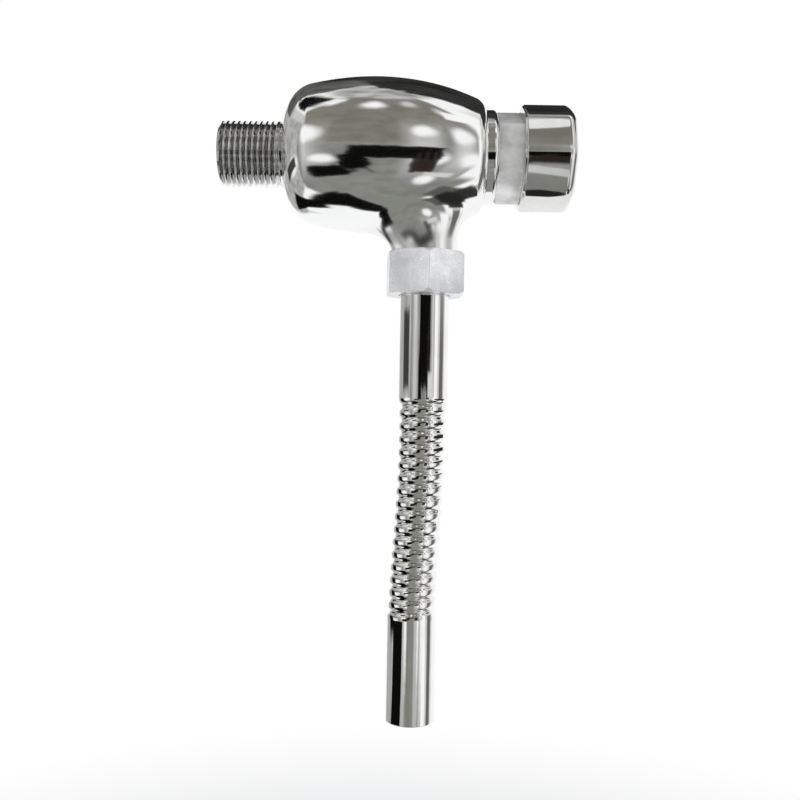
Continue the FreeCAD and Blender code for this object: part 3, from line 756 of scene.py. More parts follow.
@dataclass
class ValveBody:
    """The cast body: inlet stub, barrel with rounded rims, collar, and the branch that blends out of it."""

    inlet_length: float = 20.8
    core_r: float = 9.2
    neck_r: float = 9.9
    neck_length: float = 0.9
    inlet_bore_r: float = 7.0
    barrel_length: float = 64.9
    crown_x: float = 51.2
    crown_r: float = 24.797
    inlet_side_arc: float = 94.7
    button_side_arc: float = 82.4
    inlet_rim: float = 11.5
    button_rim: float = 5.25
    collar_r: float = 15.1
    collar_length: float = 3.4
    collar_round: float = 1.5
    mouth_round: float = 0.2
    wall: float = 3.4
    inner_wall: Pair = (39.6, 43.6)
    inner_wall_bore_r: float = 9.88
    mouth_bore_r: float = 12.12
    spigot_x: float = 75.9
    mouth_cavity_r: float = 15.9
    branch_x: float = 66.8
    branch_r: float = 10.5
    branch_blend: float = 8.6
    front_blend: float = 19.0
    branch_bore_r: float = 7.2
    branch_thread: Pair = (31.3, 40.2)
    branch_thread_r: float = 10.4775
    branch_thread_round: float = 0.5
    socket_r: float = 8.3
    socket_depth: float = 8.2
    columns: int = 192
    half_window: int = 27
    window_steps: int = 30
    lead_steps: int = 14
    inlet_rim_steps: int = 18
    button_rim_steps: int = 10
    rest_steps: int = 6
    patch_rows: int = 5
    blend_rows: int = 16
    outer_window: Pair = (46.2, 83.8)
    inner_window: Pair = (57.0, 75.4)

    def build(self) -> None:
        """Make the shell with its hollows, and the inlet's thread."""
        draft = Draft()
        outline, outer_rows, inner_rows = self._outline()
        window = frozenset(k % self.columns for k in range(-self.half_window, self.half_window))
        skipped = {}
        for rows in (outer_rows, inner_rows):
            for row in range(min(rows), max(rows)):
                skipped[row] = window
        rings = draft.turn(outline, Lie.LEVEL, columns=self.columns, skipped=skipped)
        self._branch(draft, outline, rings, outer_rows, inner_rows)
        show("valve_body_shell", draft.mesh("valve_body_shell"), CAST_CHROME, Body.VALVE, "valve_body")
        InletThread(length=self.inlet_length - self.neck_length, bore_r=self.core_r).build()

    def _crown_arc(self, x: float) -> float:
        """Give the crown's radius of curvature on the side of x."""
        return self.inlet_side_arc if x < self.crown_x else self.button_side_arc

    def _arc(self, x: float, depth: float = 0.0) -> tuple[float, float, float]:
        """Give the arc that shapes the skin at x: the crown's, or that of the rim on the button's side.

        Args:
            x: The place along the barrel.
            depth: How far the surface lies under the skin.

        Returns:
            The arc's centre as its x and its distance from the axis, and its radius.
        """
        (rim_x, rim_out), touch = self._rim(self.inlet_length + self.barrel_length, self.button_rim)
        if x > rim_x + (self.button_rim - depth) * math.cos(touch):
            return rim_x, rim_out, self.button_rim - depth
        return self.crown_x, self.crown_r - self._crown_arc(x), self._crown_arc(x) - depth

    def skin_r(self, x: float, depth: float = 0.0) -> float:
        """Give the skin's radius at x, or that of the surface at a depth under it."""
        centre_x, centre_out, arc = self._arc(x, depth)
        return centre_out + math.sqrt(arc ** 2 - (x - centre_x) ** 2)

    def _skin_way(self, x: float, depth: float) -> Pair:
        """Give the skin's outward direction at x.

        Args:
            x: The place along the barrel.
            depth: How far the surface lies under the skin.

        Returns:
            The direction's parts along the barrel and out of its axis.
        """
        centre_x, _, arc = self._arc(x, depth)
        slope = (x - centre_x) / arc
        return slope, math.sqrt(1 - slope ** 2)

    def _crown_samples(self, stations: Sequence[float], depth: float, side: float) -> list[tuple[Pair, Pair]]:
        """Sample the crown, or the hollow under it.

        Args:
            stations: The places along the barrel.
            depth: How far the surface lies under the skin.
            side: 1 for the outside, -1 for the hollow.

        Returns:
            Points with their outward directions.
        """
        samples = []
        for x in stations:
            along, out = self._skin_way(x, depth)
            samples.append(((x, self.skin_r(x, depth)), (side * along, side * out)))
        return samples

    def _rim(self, face_x: float, rounding: float) -> tuple[Pair, float]:
        """Place the round of a rim.

        Args:
            face_x: Where the barrel's end face stands.
            rounding: The round's radius.

        Returns:
            The round's centre, and the angle at which it touches the crown.
        """
        x = face_x + math.copysign(rounding, self.crown_x - face_x)
        arc = self._crown_arc(face_x)
        out = self.crown_r - arc + math.sqrt((arc - rounding) ** 2 - (x - self.crown_x) ** 2)
        return (x, out), math.atan2(out - self.crown_r + arc, x - self.crown_x)

    def _outline(self) -> tuple[Outline, list[int], list[int]]:
        """Trace the whole section: outside, mouth, hollows and inlet bore.

        Returns:
            The outline, and the rows of the outer and of the inner window, both from the inlet's side on.
        """
        start_x = self.inlet_length
        end_x = start_x + self.barrel_length
        mouth_x = end_x + self.collar_length
        neck_x = start_x - self.neck_length
        outline = Outline()
        outline.trace((0, self.inlet_bore_r, 0), (0, self.core_r, 0), (neck_x, self.core_r, 0),
                      (neck_x, self.neck_r, 0), (start_x, self.neck_r, 0))
        centre, touch = self._rim(start_x, self.inlet_rim)
        outline.run(arc_samples(centre, self.inlet_rim, math.pi, touch, self.inlet_rim_steps))
        lead = spread(outline.points[-1][0], self.outer_window[0], self.lead_steps)
        outline.run(self._crown_samples(lead, 0.0, 1.0))
        first = len(outline.points) - 1
        outline.run(self._crown_samples(spread(*self.outer_window, self.window_steps), 0.0, 1.0))
        outer_rows = list(range(first, len(outline.points)))
        centre, _ = self._rim(end_x, self.button_rim)
        start = math.acos((self.outer_window[1] - centre[0]) / self.button_rim)
        collar = math.asin((self.collar_r - centre[1]) / self.button_rim)
        outline.run(arc_samples(centre, self.button_rim, start, collar, self.button_rim_steps))
        outline.trace((mouth_x, self.collar_r, self.collar_round),
                      (mouth_x, self.mouth_bore_r, self.mouth_round),
                      (self.spigot_x, self.mouth_bore_r, 0), (self.spigot_x, self.mouth_cavity_r, 0))
        stations = spread(*self.inner_window, self.window_steps)
        outline.run(self._crown_samples(stations[::-1], self.wall, -1.0))
        inner_rows = list(range(len(outline.points) - 1, len(outline.points) - len(stations) - 1, -1))
        before, after = self.inner_wall
        outline.run(self._crown_samples(spread(stations[0], after, self.rest_steps), self.wall, -1.0))
        outline.trace((after, self.inner_wall_bore_r, 0), (before, self.inner_wall_bore_r, 0),
                      (before, self.skin_r(before, self.wall), 0))
        chamber_x = start_x + self.wall
        chamber_r = self.skin_r(chamber_x) - self.inlet_rim / 2
        outline.trace((chamber_x + self.wall, chamber_r, 0), (chamber_x, chamber_r - self.wall, 0),
                      (chamber_x, self.inlet_bore_r, 0), (0, self.inlet_bore_r, 0))
        return outline, outer_rows, inner_rows

    def _edge(self, rows: list[int]) -> list[tuple[int, int]]:
        """Number the points round a window by their row and column.

        Args:
            rows: The outline's points along the window.

        Returns:
            The pairs, in order round the window.
        """
        half, last = self.half_window, self.window_steps
        steps = [(0, k) for k in range(-half, half)] + [(k, half) for k in range(last)]
        steps += [(last, k) for k in range(half, -half, -1)] + [(k, -half) for k in range(last, 0, -1)]
        return [(rows[row], column % self.columns) for row, column in steps]

    def _on_skin(self, x: float, angle: float, depth: float) -> tuple[Vector, Vector]:
        """Place a point on the barrel's skin.

        Args:
            x: Its place along the barrel.
            angle: Its angle from straight down.
            depth: How far the surface lies under the skin.

        Returns:
            The point and the outward direction there.
        """
        along, out = self._skin_way(x, depth)
        spoke = Vector((0, math.sin(angle), -math.cos(angle)))
        return ALONG * x + spoke * self.skin_r(x, depth), ALONG * along + spoke * out

    def _patch(self, draft: Draft, edge: list[int], corners: list[Pair], touches: list[Pair],
               depth: float) -> tuple[list[int], list[Vector]]:
        """Fill the skin between a window's edge and the neck.

        Args:
            draft: The mesh in the making.
            edge: The numbers of the edge's points.
            corners: The edge's places as (x, angle).
            touches: Where the neck starts, as (x, angle).
            depth: The skin's depth under the outside.

        Returns:
            The last ring's points and outward directions.
        """
        side = -1.0 if depth else 1.0
        ring, outs = edge, [self._on_skin(x, angle, depth)[1] * side for x, angle in corners]
        for row in range(1, self.patch_rows + 1):
            share = row / self.patch_rows
            placed = [self._on_skin(x + (to_x - x) * share, angle + (to_angle - angle) * share, depth)
                      for (x, angle), (to_x, to_angle) in zip(corners, touches)]
            next_ring = draft.ring([point for point, _ in placed])
            next_outs = [out * side for _, out in placed]
            draft.strip(ring, outs, next_ring, next_outs)
            ring, outs = next_ring, next_outs
        return ring, outs

    def _branch(self, draft: Draft, outline: Outline, rings: list[list[int]], outer_rows: list[int],
                inner_rows: list[int]) -> None:
        """Make the branch: its rolling blend, its outside and its bore.

        Args:
            draft: The mesh in the making.
            outline: The barrel's outline.
            rings: The numbers of the barrel's points.
            outer_rows: The outline's points along the window in the skin.
            inner_rows: The outline's points along the window in the hollow.
        """
        outer_edge, inner_edge = self._edge(outer_rows), self._edge(inner_rows)
        outer_corners = self._places(outline, outer_edge)
        azimuths = []
        for x, angle in outer_corners:
            azimuths.append(math.atan2(self.skin_r(x) * math.sin(angle), x - self.branch_x))
        balls = [self._ball(azimuth) for azimuth in azimuths]
        sizes = [self._blend_r(azimuth) for azimuth in azimuths]
        touches = [self._angles(ball + way * size) for (ball, _, way), size in zip(balls, sizes)]
        ring, outs = self._patch(draft, [rings[row][column] for row, column in outer_edge], outer_corners,
                                 touches, 0.0)
        shares = [self._blend_share(*ball, size) for ball, size in zip(balls, sizes)]
        for row in range(1, self.blend_rows + 1):
            ways = [skin_way.slerp(branch_way, share * row / self.blend_rows)
                    for (_, branch_way, skin_way), share in zip(balls, shares)]
            points = [ball + way * size for (ball, _, _), way, size in zip(balls, ways, sizes)]
            next_ring, next_outs = draft.ring(points), [-way for way in ways]
            draft.strip(ring, outs, next_ring, next_outs)
            ring, outs = next_ring, next_outs
        spokes = [Vector((math.cos(azimuth), math.sin(azimuth), 0)) for azimuth in azimuths]
        axis = ALONG * self.branch_x
        top, end = self.branch_thread
        next_ring = draft.ring([Vector((point.x, point.y, -top)) for point in points])
        draft.strip(ring, outs, next_ring, outs)
        floor = end - self.socket_depth
        section = Outline().trace((top, self.branch_thread_r, 0),
                                  (end, self.branch_thread_r, self.branch_thread_round),
                                  (end, self.socket_r, 0), (floor, self.socket_r, 0),
                                  (floor, self.branch_bore_r, 0))
        walls = draft.sweep(section, lambda u, v, k: axis + spokes[k] * v - Vector((0, 0, u)),
                            lambda u, v, k: spokes[k] * v - Vector((0, 0, u)), len(spokes))
        down = [Vector((0, 0, -1))] * len(spokes)
        draft.strip(next_ring, down, walls[0], down)
        bore_touches = []
        for spoke in spokes:
            at = axis + spoke * self.branch_bore_r
            drop = math.sqrt(self.skin_r(at.x, self.wall) ** 2 - at.y ** 2)
            bore_touches.append((at.x, math.atan2(at.y, drop)))
        last_ring, _ = self._patch(draft, [rings[row][column] for row, column in inner_edge],
                                   self._places(outline, inner_edge), bore_touches, self.wall)
        inwards = [-spoke for spoke in spokes]
        draft.strip(walls[-1], inwards, last_ring, inwards)

    def _places(self, outline: Outline, edge: list[tuple[int, int]]) -> list[Pair]:
        """Place the points round a window.

        Args:
            outline: The barrel's outline.
            edge: The points' rows and columns.

        Returns:
            Each point's place along the barrel and its angle from straight down.
        """
        places = []
        for row, column in edge:
            angle = TURN * column / self.columns
            places.append((outline.points[row][0], angle - TURN if angle > math.pi else angle))
        return places

    def _blend_r(self, azimuth: float) -> float:
        """Give the blend's radius, which is the largest before and behind the branch."""
        return self.branch_blend + (self.front_blend - self.branch_blend) * math.sin(azimuth) ** 2

    def _ball(self, azimuth: float) -> tuple[Vector, Vector, Vector]:
        """Place the ball that rolls between barrel and branch.

        Args:
            azimuth: Its angle about the branch's axis.

        Returns:
            Its centre, and the directions from it to the branch and to the barrel.
        """
        blend = self._blend_r(azimuth)
        reach = self.branch_r + blend
        spoke = Vector((math.cos(azimuth), math.sin(azimuth), 0))
        x, y = self.branch_x + reach * spoke.x, reach * spoke.y
        out = self.skin_r(x, -blend)
        drop = math.sqrt(out ** 2 - y ** 2)
        slope, rise = self._skin_way(x, -blend)
        to_skin = -Vector((slope, rise * y / out, -rise * drop / out))
        return Vector((x, y, -drop)), -spoke, to_skin

    def _blend_share(self, ball: Vector, branch_way: Vector, skin_way: Vector, blend: float) -> float:
        """Give the share of the ball's arc that lies above the branch's thread.

        Args:
            ball: The rolling ball's centre.
            branch_way: The direction from it to the branch.
            skin_way: The direction from it to the barrel.
            blend: The ball's radius.

        Returns:
            The share, from 0 to 1.
        """
        lift = max(0.0, (-self.branch_thread[0] - ball.z) / blend)
        whole = skin_way.angle(branch_way)
        return 1.0 - math.asin(lift * math.sin(whole) / skin_way.z) / whole

    @staticmethod
    def _angles(point: Vector) -> Pair:
        """Give a point's place along the barrel and its angle from straight down."""
        return point.x, math.atan2(point.y, -point.z)


class RingTree:
    """A Geometry Nodes tree that wraps a grid into a closed tube with an outside, a bore and two end faces.

    The tube's outside takes the first rows of the grid and its bore the next ones, and a last row closes it.
    """

    def __init__(self, name: str, sizes: dict[str, float]) -> None:
        """Start the tree with its named sizes.

        Args:
            name: The tree's name.
            sizes: Its sizes in millimetres, by their names.
        """
        self.tree = bpy.data.node_groups.new(name, "GeometryNodeTree")
        self.sizes = sizes
        for label in sizes:
            self.tree.interface.new_socket(label, in_out="INPUT", socket_type="NodeSocketFloat")
        self.tree.interface.new_socket("Finish", in_out="INPUT", socket_type="NodeSocketMaterial")
        self.tree.interface.new_socket("Geometry", in_out="OUTPUT", socket_type="NodeSocketGeometry")
        self.maker = NodeMaker(self.tree)
        self.given = self.maker.add("NodeGroupInput")

    def size(self, label: str) -> Term:
        """Give one of the tree's sizes."""
        return self.maker.term(self.given, label)

    def grid(self, outside_rows: int, bore_rows: int,
             columns: int) -> tuple[bpy.types.Node, Term, Term, Term]:
        """Lay the grid.

        Args:
            outside_rows: Rows of points along the outside.
            bore_rows: Rows of points along the bore.
            columns: Faces round the tube.

        Returns:
            The grid, and the fields for the share of the length, the angle, and 1 on the bore.
        """
        rows = outside_rows + bore_rows + 1
        grid = self.maker.add("GeometryNodeMeshGrid", None, {
            "Size X": float(rows - 1), "Size Y": float(columns),
            "Vertices X": rows, "Vertices Y": columns + 1})
        x, y, _ = self.maker.split(self.maker.term(self.maker.add("GeometryNodeInputPosition")))
        row = x + (rows - 1) / 2
        angle = (y + columns / 2) * (TURN / columns)
        # Rows are whole numbers, so half a row tells the last one, and the bore's, from the one before.
        closing = row > rows - 1.5
        on_bore = (row > outside_rows - 0.5) - closing
        outside_share = row / (outside_rows - 1.0)
        bore_share = 1.0 - (row - float(outside_rows)) / (bore_rows - 1.0)
        share = (outside_share * (1.0 - on_bore) + bore_share * on_bore) * (1.0 - closing)
        return grid, share, angle, on_bore

    def close(self, grid: bpy.types.Node, x: Term, y: Term, z: Term) -> None:
        """Set the points' places, weld the tube and end the tree.

        Args:
            grid: The grid.
            x: The field of the points' X.
            y: That of their Y.
            z: That of their Z.
        """
        place = self.maker.add("ShaderNodeCombineXYZ", None, {"X": x, "Y": y, "Z": z})
        moved = self.maker.add("GeometryNodeSetPosition", None,
                               {"Geometry": self.maker.term(grid, "Mesh"), "Position": place})
        welded = self.maker.add("GeometryNodeMergeByDistance", None, {"Geometry": moved, "Distance": WELD})
        self.finish(welded)

    def finish(self, last: bpy.types.Node) -> None:
        """End the tree with Realize Instances and Set Material.

        Args:
            last: The node that gives the shape.
        """
        smooth = self.maker.add("GeometryNodeSetShadeSmooth", None, {"Geometry": last, "Shade Smooth": True})
        real = self.maker.add("GeometryNodeRealizeInstances", None, {"Geometry": smooth})
        dressed = self.maker.add("GeometryNodeSetMaterial", None,
                                 {"Geometry": real, "Material": self.maker.term(self.given, "Finish")})
        self.maker.add("NodeGroupOutput", None, {"Geometry": dressed})

    def mesh(self, name: str, finish: Finish, crease: float = 40.0) -> bpy.types.Mesh:
        """Run the tree and give its result as a plain mesh.

        Args:
            name: The mesh's name.
            finish: The finish that the tree sets.
            crease: The angle in degrees past which an edge is crisp.

        Returns:
            The mesh, in metres, facing outwards.
        """
        carrier = put_in_scene("carrier", bpy.data.meshes.new("carrier"))
        modifier = carrier.modifiers.new("tree", "NODES")
        modifier.node_group = self.tree
        for item in self.tree.interface.items_tree:
            if item.in_out == "INPUT" and item.name in self.sizes:
                modifier[item.identifier] = self.sizes[item.name] * MM
            elif item.in_out == "INPUT":
                modifier[item.identifier] = finish.material()
        made = plain_mesh(carrier, name)
        work = bmesh.new()
        work.from_mesh(made)
        bmesh.ops.recalc_face_normals(work, faces=work.faces)
        work.to_mesh(made)
        work.free()
        made.set_sharp_from_angle(angle=math.radians(crease))
        return made


@dataclass
class InletThread:
    """The inlet's pipe thread: a true helix of 14 turns to the inch, with a lead-in bevel and a run-out."""

    length: float
    bore_r: float
    crest_r: float = 10.4775
    depth: float = 1.1615
    pitch: float = 1.8143
    lead: float = 1.0
    flank_gain: float = 1.25
    root_share: float = 0.12
    run_out_turns: float = 0.8
    crease: float = 60.0
    rows_per_turn: int = 14
    columns: int = 96

    def build(self) -> None:
        """Make the thread by Geometry Nodes."""
        tree = RingTree("inlet_thread_tree", {
            "Length": self.length, "Bore Radius": self.bore_r, "Lead": self.lead,
            "Crest Radius": self.crest_r, "Depth": self.depth, "Pitch": self.pitch})
        maker = tree.maker
        rows = round(self.length / self.pitch * self.rows_per_turn)
        grid, share, angle, on_bore = tree.grid(rows, 2, self.columns)
        x = share * tree.size("Length")
        phase = maker.math("FRACT", x / tree.size("Pitch") + angle / TURN)
        flank = maker.math("ABSOLUTE", phase * 2.0 - 1.0)
        fill = maker.smooth(flank * self.flank_gain - self.root_share)
        run_out = maker.within((tree.size("Length") - x) / (tree.size("Pitch") * self.run_out_turns))
        cut = tree.size("Depth") * (1.0 - fill) * run_out
        bevel = maker.math("MAXIMUM", tree.size("Lead") - x, 0.0)
        outside = tree.size("Crest Radius") - maker.math("MAXIMUM", cut, bevel)
        radius = outside * (1.0 - on_bore) + tree.size("Bore Radius") * on_bore
        tree.close(grid, x, radius * maker.math("SINE", angle), -(radius * maker.math("COSINE", angle)))
        mesh = tree.mesh("inlet_thread", THREAD_CHROME, self.crease)
        show("inlet_thread", mesh, THREAD_CHROME, Body.VALVE, "valve_body")


@dataclass
class PushButton:
    """The hollow octagonal push cap: soft corners, rolled front edge, low dome, and hexagonal socket."""

    sides: int = 8
    flats: float = 33.0
    turn: float = 7.3
    corner_round: float = 8.0
    side_crown: float = 5.0
    start_x: float = 97.1
    front_x: float = 113.6
    dome: float = 0.5
    front_round: float = 3.0
    rear_bevel: float = 0.7
    rear_round: float = 0.5
    socket_flats: float = 26.8
    floor_x: float = 110.9
    boss_r: float = 5.6
    boss_x: float = 107.9
    boss_round: float = 0.2
    hole_r: float = 3.05
    hole_end_x: float = 112.65
    side_steps: int = 10
    corner_steps: int = 10
    dome_rows: int = 10

    def build(self) -> None:
        """Make the cap."""
        draft = Draft()
        contour = self._contour()
        columns = len(contour)

        def place(u: float, v: float, k: int) -> Vector:
            """Give the point at u along the barrel and v outside the contour."""
            return ALONG * u + contour[k][0] + contour[k][1] * v

        def way(u: float, v: float, k: int) -> Vector:
            """Give the direction with the parts u along the barrel and v out of the contour."""
            return ALONG * u + contour[k][1] * v

        back = [-ALONG] * columns
        socket = [self._socket(point) for point, _ in contour]
        inwards = [-out for _, out in socket]
        floor, mouth = (draft.ring([ALONG * x + point for point, _ in socket])
                        for x in (self.floor_x, self.start_x))
        draft.strip(floor, inwards, mouth, inwards)
        shell = Outline().trace((self.start_x, -self.rear_bevel, 0),
                                (self.start_x + self.rear_bevel, 0, self.rear_round),
                                (self.front_x, 0, self.front_round), (self.front_x, -self.front_round, 0))
        rings = draft.sweep(shell, place, way, columns)
        draft.strip(mouth, back, rings[0], back)
        self._dome(draft, contour, rings[-1])
        spokes = [point.normalized() for point, _ in contour]
        boss = Outline().trace((self.floor_x, self.boss_r, 0), (self.boss_x, self.boss_r, self.boss_round),
                               (self.boss_x, self.hole_r, 0), (self.hole_end_x, self.hole_r, 0),
                               (self.hole_end_x, 0, 0))
        boss = Outline(boss.points, [((-a[0], -a[1]), (-b[0], -b[1])) for a, b in boss.outs])

        def spun(u: float, v: float, k: int) -> Vector:
            """Lay a pair of the boss' outline at a column."""
            return ALONG * u + spokes[k] * v

        inner = draft.sweep(boss, spun, spun, columns)
        draft.strip(floor, back, inner[0], back)
        show("button_cap", draft.mesh("button_cap"), BUTTON_CHROME, Body.BUTTON, "button")

    def _dome(self, draft: Draft, contour: list[tuple[Vector, Vector]], last: list[int]) -> None:
        """Close the front by its low dome.

        Args:
            draft: The mesh in the making.
            contour: The octagon's points and their outward directions.
            last: The numbers of the points that the dome starts from.
        """
        edge = [point - out * self.front_round for point, out in contour]
        radii = [point.length - self.front_round for point, _ in contour]
        last_outs = [ALONG] * len(contour)
        for row in range(1, self.dome_rows + 1):
            share = 1 - row / self.dome_rows
            height = self.dome * (1 - share ** 2) ** 2
            steepness = 4 * self.dome * share * (1 - share ** 2)
            ring = draft.ring([ALONG * (self.front_x + height) + point * share for point in edge])
            outs = [ALONG + point.normalized() * (steepness / radius) for point, radius in zip(edge, radii)]
            draft.strip(last, last_outs, ring, outs)
            last, last_outs = ring, outs

    def _socket(self, point: Vector) -> tuple[Vector, Vector]:
        """Find the hexagonal socket's wall under a point.

        Args:
            point: A point of the contour.

        Returns:
            The wall's point on the way to the axis, and the wall's direction.
        """
        angle = math.atan2(point.z, point.y)
        sixth = math.radians(60)
        facing = sixth * round(angle / sixth)
        out = Vector((0, math.cos(facing), math.sin(facing)))
        return point.normalized() * (self.socket_flats / 2 / math.cos(angle - facing)), out

    def _contour(self) -> list[tuple[Vector, Vector]]:
        """Sample the soft octagon with its slightly crowned sides.

        Returns:
            Points with their outward directions.
        """
        half, crown = math.pi / self.sides, math.radians(self.side_crown)
        reach = self.flats / 2
        # The corners' arcs turn about hubs at one distance, so that each crowned side touches both of them.
        hub = (reach - self.corner_round) / (math.cos(half) + math.sin(half) * math.tan(crown / 2))
        side_r = self.corner_round + hub * math.sin(half) / math.sin(crown)
        samples = []
        for i in range(self.sides):
            middle = math.radians(self.turn) + 2 * half * i
            for facing, out, radius, sweep, steps in (
                    (middle, hub, self.corner_round, half - crown, self.corner_steps),
                    (middle + half, reach - side_r, side_r, crown, self.side_steps)):
                centre = Vector((0, math.cos(facing), math.sin(facing))) * out
                for step in range(steps):
                    angle = facing + sweep * (2 * step / steps - 1)
                    way = Vector((0, math.cos(angle), math.sin(angle)))
                    samples.append((centre + way * radius, way))
        return samples


@dataclass
class FlushPipe:
    """The chromed pipe: a plain upper length, the ribbed length that is bent by hand, and the plain end."""

    radius: float = 8.0
    wall: float = 0.8
    upper_x: float = 66.8
    side_step: float = 2.6
    top: float = 32.15
    ribs_top: float = 78.6
    rib_count: int = 17
    rib_pitch: float = 4.2
    rib_start: float = 0.32
    turn_rates: Pair = (16.26, 0.84)
    crest_drop: float = 0.3
    groove: float = 1.05
    roundness: float = 4.4
    lower_length: float = 33.6
    end_round: float = 0.3
    fade_turns: float = 0.6
    crease: float = 60.0
    rows_per_rib: int = 14
    bore_rows: int = 52
    columns: int = 96

    def build(self) -> None:
        """Make the three lengths."""
        ribs_end = self.ribs_top + self.rib_count * self.rib_pitch
        self._length("pipe_upper_tube", self.upper_x, self.top, self.ribs_top, Body.PIPE, "pipe_upper")
        self._length("pipe_lower_tube", self.upper_x - self.side_step, ribs_end, ribs_end + self.lower_length,
                     Body.PIPE_END, "pipe_lower")
        self._ribs(ribs_end)

    def _length(self, name: str, axis_x: float, start: float, end: float, body: Body, node: str) -> None:
        """Make a plain length of pipe, rounded at its free end.

        Args:
            name: The piece's name.
            axis_x: Where its axis stands.
            start: The depth of its top.
            end: The depth of its foot.
            body: The body that it rides on.
            node: The CAD node that it stands for.
        """
        bore = self.radius - self.wall
        top_round, foot_round = (self.end_round, 0.0) if body is Body.PIPE else (0.0, self.end_round)
        outline = Outline().trace((start, bore, 0), (start, self.radius, top_round),
                                  (end, self.radius, foot_round), (end, bore, foot_round), (start, bore, 0))
        draft = Draft()
        draft.turn(outline, Lie.HANGING, axis_x)
        show(name, draft.mesh(name), TUBE_CHROME, body, node)

    def _ribs(self, ribs_end: float) -> None:
        """Make the ribbed length by Geometry Nodes: one groove that winds down the pipe.

        Its axis steps aside along the curve s^3 (4 - 3 s), whose slope is 12 s^2 (1 - s).

        Args:
            ribs_end: The depth of its foot.
        """
        tree = RingTree("ribbed_pipe_tree", {
            "Length": ribs_end - self.ribs_top, "Top": self.ribs_top, "Radius": self.radius,
            "Groove": self.groove, "Axis": self.upper_x, "Side Step": self.side_step,
            "Bore Radius": self.radius - self.wall - self.groove, "Crest Drop": self.crest_drop})
        maker = tree.maker
        rows = self.rib_count * self.rows_per_rib
        grid, share, angle, on_bore = tree.grid(rows, self.bore_rows, self.columns)
        rate, gain = self.turn_rates
        turns = share * (share * gain + rate)
        wave = maker.math("ABSOLUTE", maker.math("SINE", (turns + angle / TURN + self.rib_start) * math.pi))
        ends = maker.smooth(turns / self.fade_turns) * maker.smooth((rate + gain - turns) / self.fade_turns)
        crest, groove = tree.size("Crest Drop"), tree.size("Groove")
        outside = tree.size("Radius") - (crest + (groove - crest) * wave ** self.roundness) * ends
        radius = outside * (1.0 - on_bore) + tree.size("Bore Radius") * on_bore
        shift = tree.size("Side Step") * share * share * share * (4.0 - 3.0 * share)
        slope = tree.size("Side Step") * 12.0 * share * share * (1.0 - share) / tree.size("Length")
        across = radius * maker.math("COSINE", angle)
        depth = tree.size("Top") + share * tree.size("Length") + across * slope
        tree.close(grid, tree.size("Axis") - shift + across, radius * maker.math("SINE", angle), -depth)
        mesh = tree.mesh("pipe_ribs", TUBE_CHROME, self.crease)
        piece = show("pipe_ribs", mesh, TUBE_CHROME, None, "pipe_bend_section")
        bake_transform(piece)


@dataclass
class ReturnSpring:
    """The spring between the guide and the piston."""

    coil_r: float = 6.6
    wire_r: float = 0.55
    start_x: float = 47.5
    end_x: float = 65.7
    turns: float = 5.0
    steps_per_turn: int = 36
    wire_sides: int = 12

    def build(self) -> None:
        """Make the coil by Geometry Nodes, along a spiral."""
        tree = RingTree("return_spring_tree", {
            "Coil Radius": self.coil_r, "Wire Radius": self.wire_r, "Length": self.end_x - self.start_x,
            "Start": self.start_x})
        maker = tree.maker
        path = maker.add("GeometryNodeCurveSpiral", None, {
            "Resolution": self.steps_per_turn, "Rotations": self.turns, "Height": tree.size("Length"),
            "Start Radius": tree.size("Coil Radius"), "End Radius": tree.size("Coil Radius")})
        wire = maker.add("GeometryNodeCurvePrimitiveCircle", {"mode": "RADIUS"},
                         {"Resolution": self.wire_sides, "Radius": tree.size("Wire Radius")})
        coil = maker.add("GeometryNodeCurveToMesh", None,
                         {"Curve": path, "Profile Curve": wire, "Fill Caps": True})
        shift = maker.add("ShaderNodeCombineXYZ", None, {"X": tree.size("Start")})
        laid = maker.add("GeometryNodeTransform", None,
                         {"Geometry": coil, "Translation": shift, "Rotation": (0.0, math.pi / 2, 0.0)})
        tree.finish(laid)
        mesh = tree.mesh("return_spring_coil", STEEL)
        piece = show("return_spring_coil", mesh, STEEL, None, "return_spring")
        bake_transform(piece)


@dataclass(frozen=True)
class InnerPieces:
    """The pieces inside, whose CAD shapes stay or only get softer edges."""

    bevelled: tuple[tuple[str, Finish, float, Body], ...] = (
        ("bonnet", BONNET_CHROME, 0.5, Body.VALVE),
        ("outlet_nut", NUT_CHROME, 0.35, Body.VALVE),
        ("gland_nut", BRASS, 0.12, Body.VALVE),
        ("plug_nut", BRASS, 0.15, Body.BUTTON),
        ("button_lock_nut", BRASS, 0.15, Body.BUTTON),
    )
    dressed: tuple[tuple[str, Finish], ...] = (
        ("bonnet_o_ring", RUBBER), ("cartridge_sleeve", BRASS), ("sleeve_o_ring", RUBBER),
        ("sleeve_washer", FIBRE), ("spindle_guide", BRASS), ("gland_o_rings", RUBBER), ("spindle", STEEL),
        ("valve_plug", BRASS), ("plug_washer", RUBBER), ("piston", PLASTIC), ("piston_cup_seal", RUBBER),
        ("piston_circlips", STEEL), ("pipe_gasket", RUBBER), ("slip_ring", PLASTIC),
    )

    def build(self) -> None:
        """Soften the hexagons and nuts, and give the other nodes their finishes."""
        for node, finish, edge, body in self.bevelled:
            softened(node, finish, edge, body)
        for node, finish in self.dressed:
            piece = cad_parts[node]
            piece.data.materials.clear()
            piece.data.materials.append(finish.material())
            LOG.info("%s: CAD shape", node)


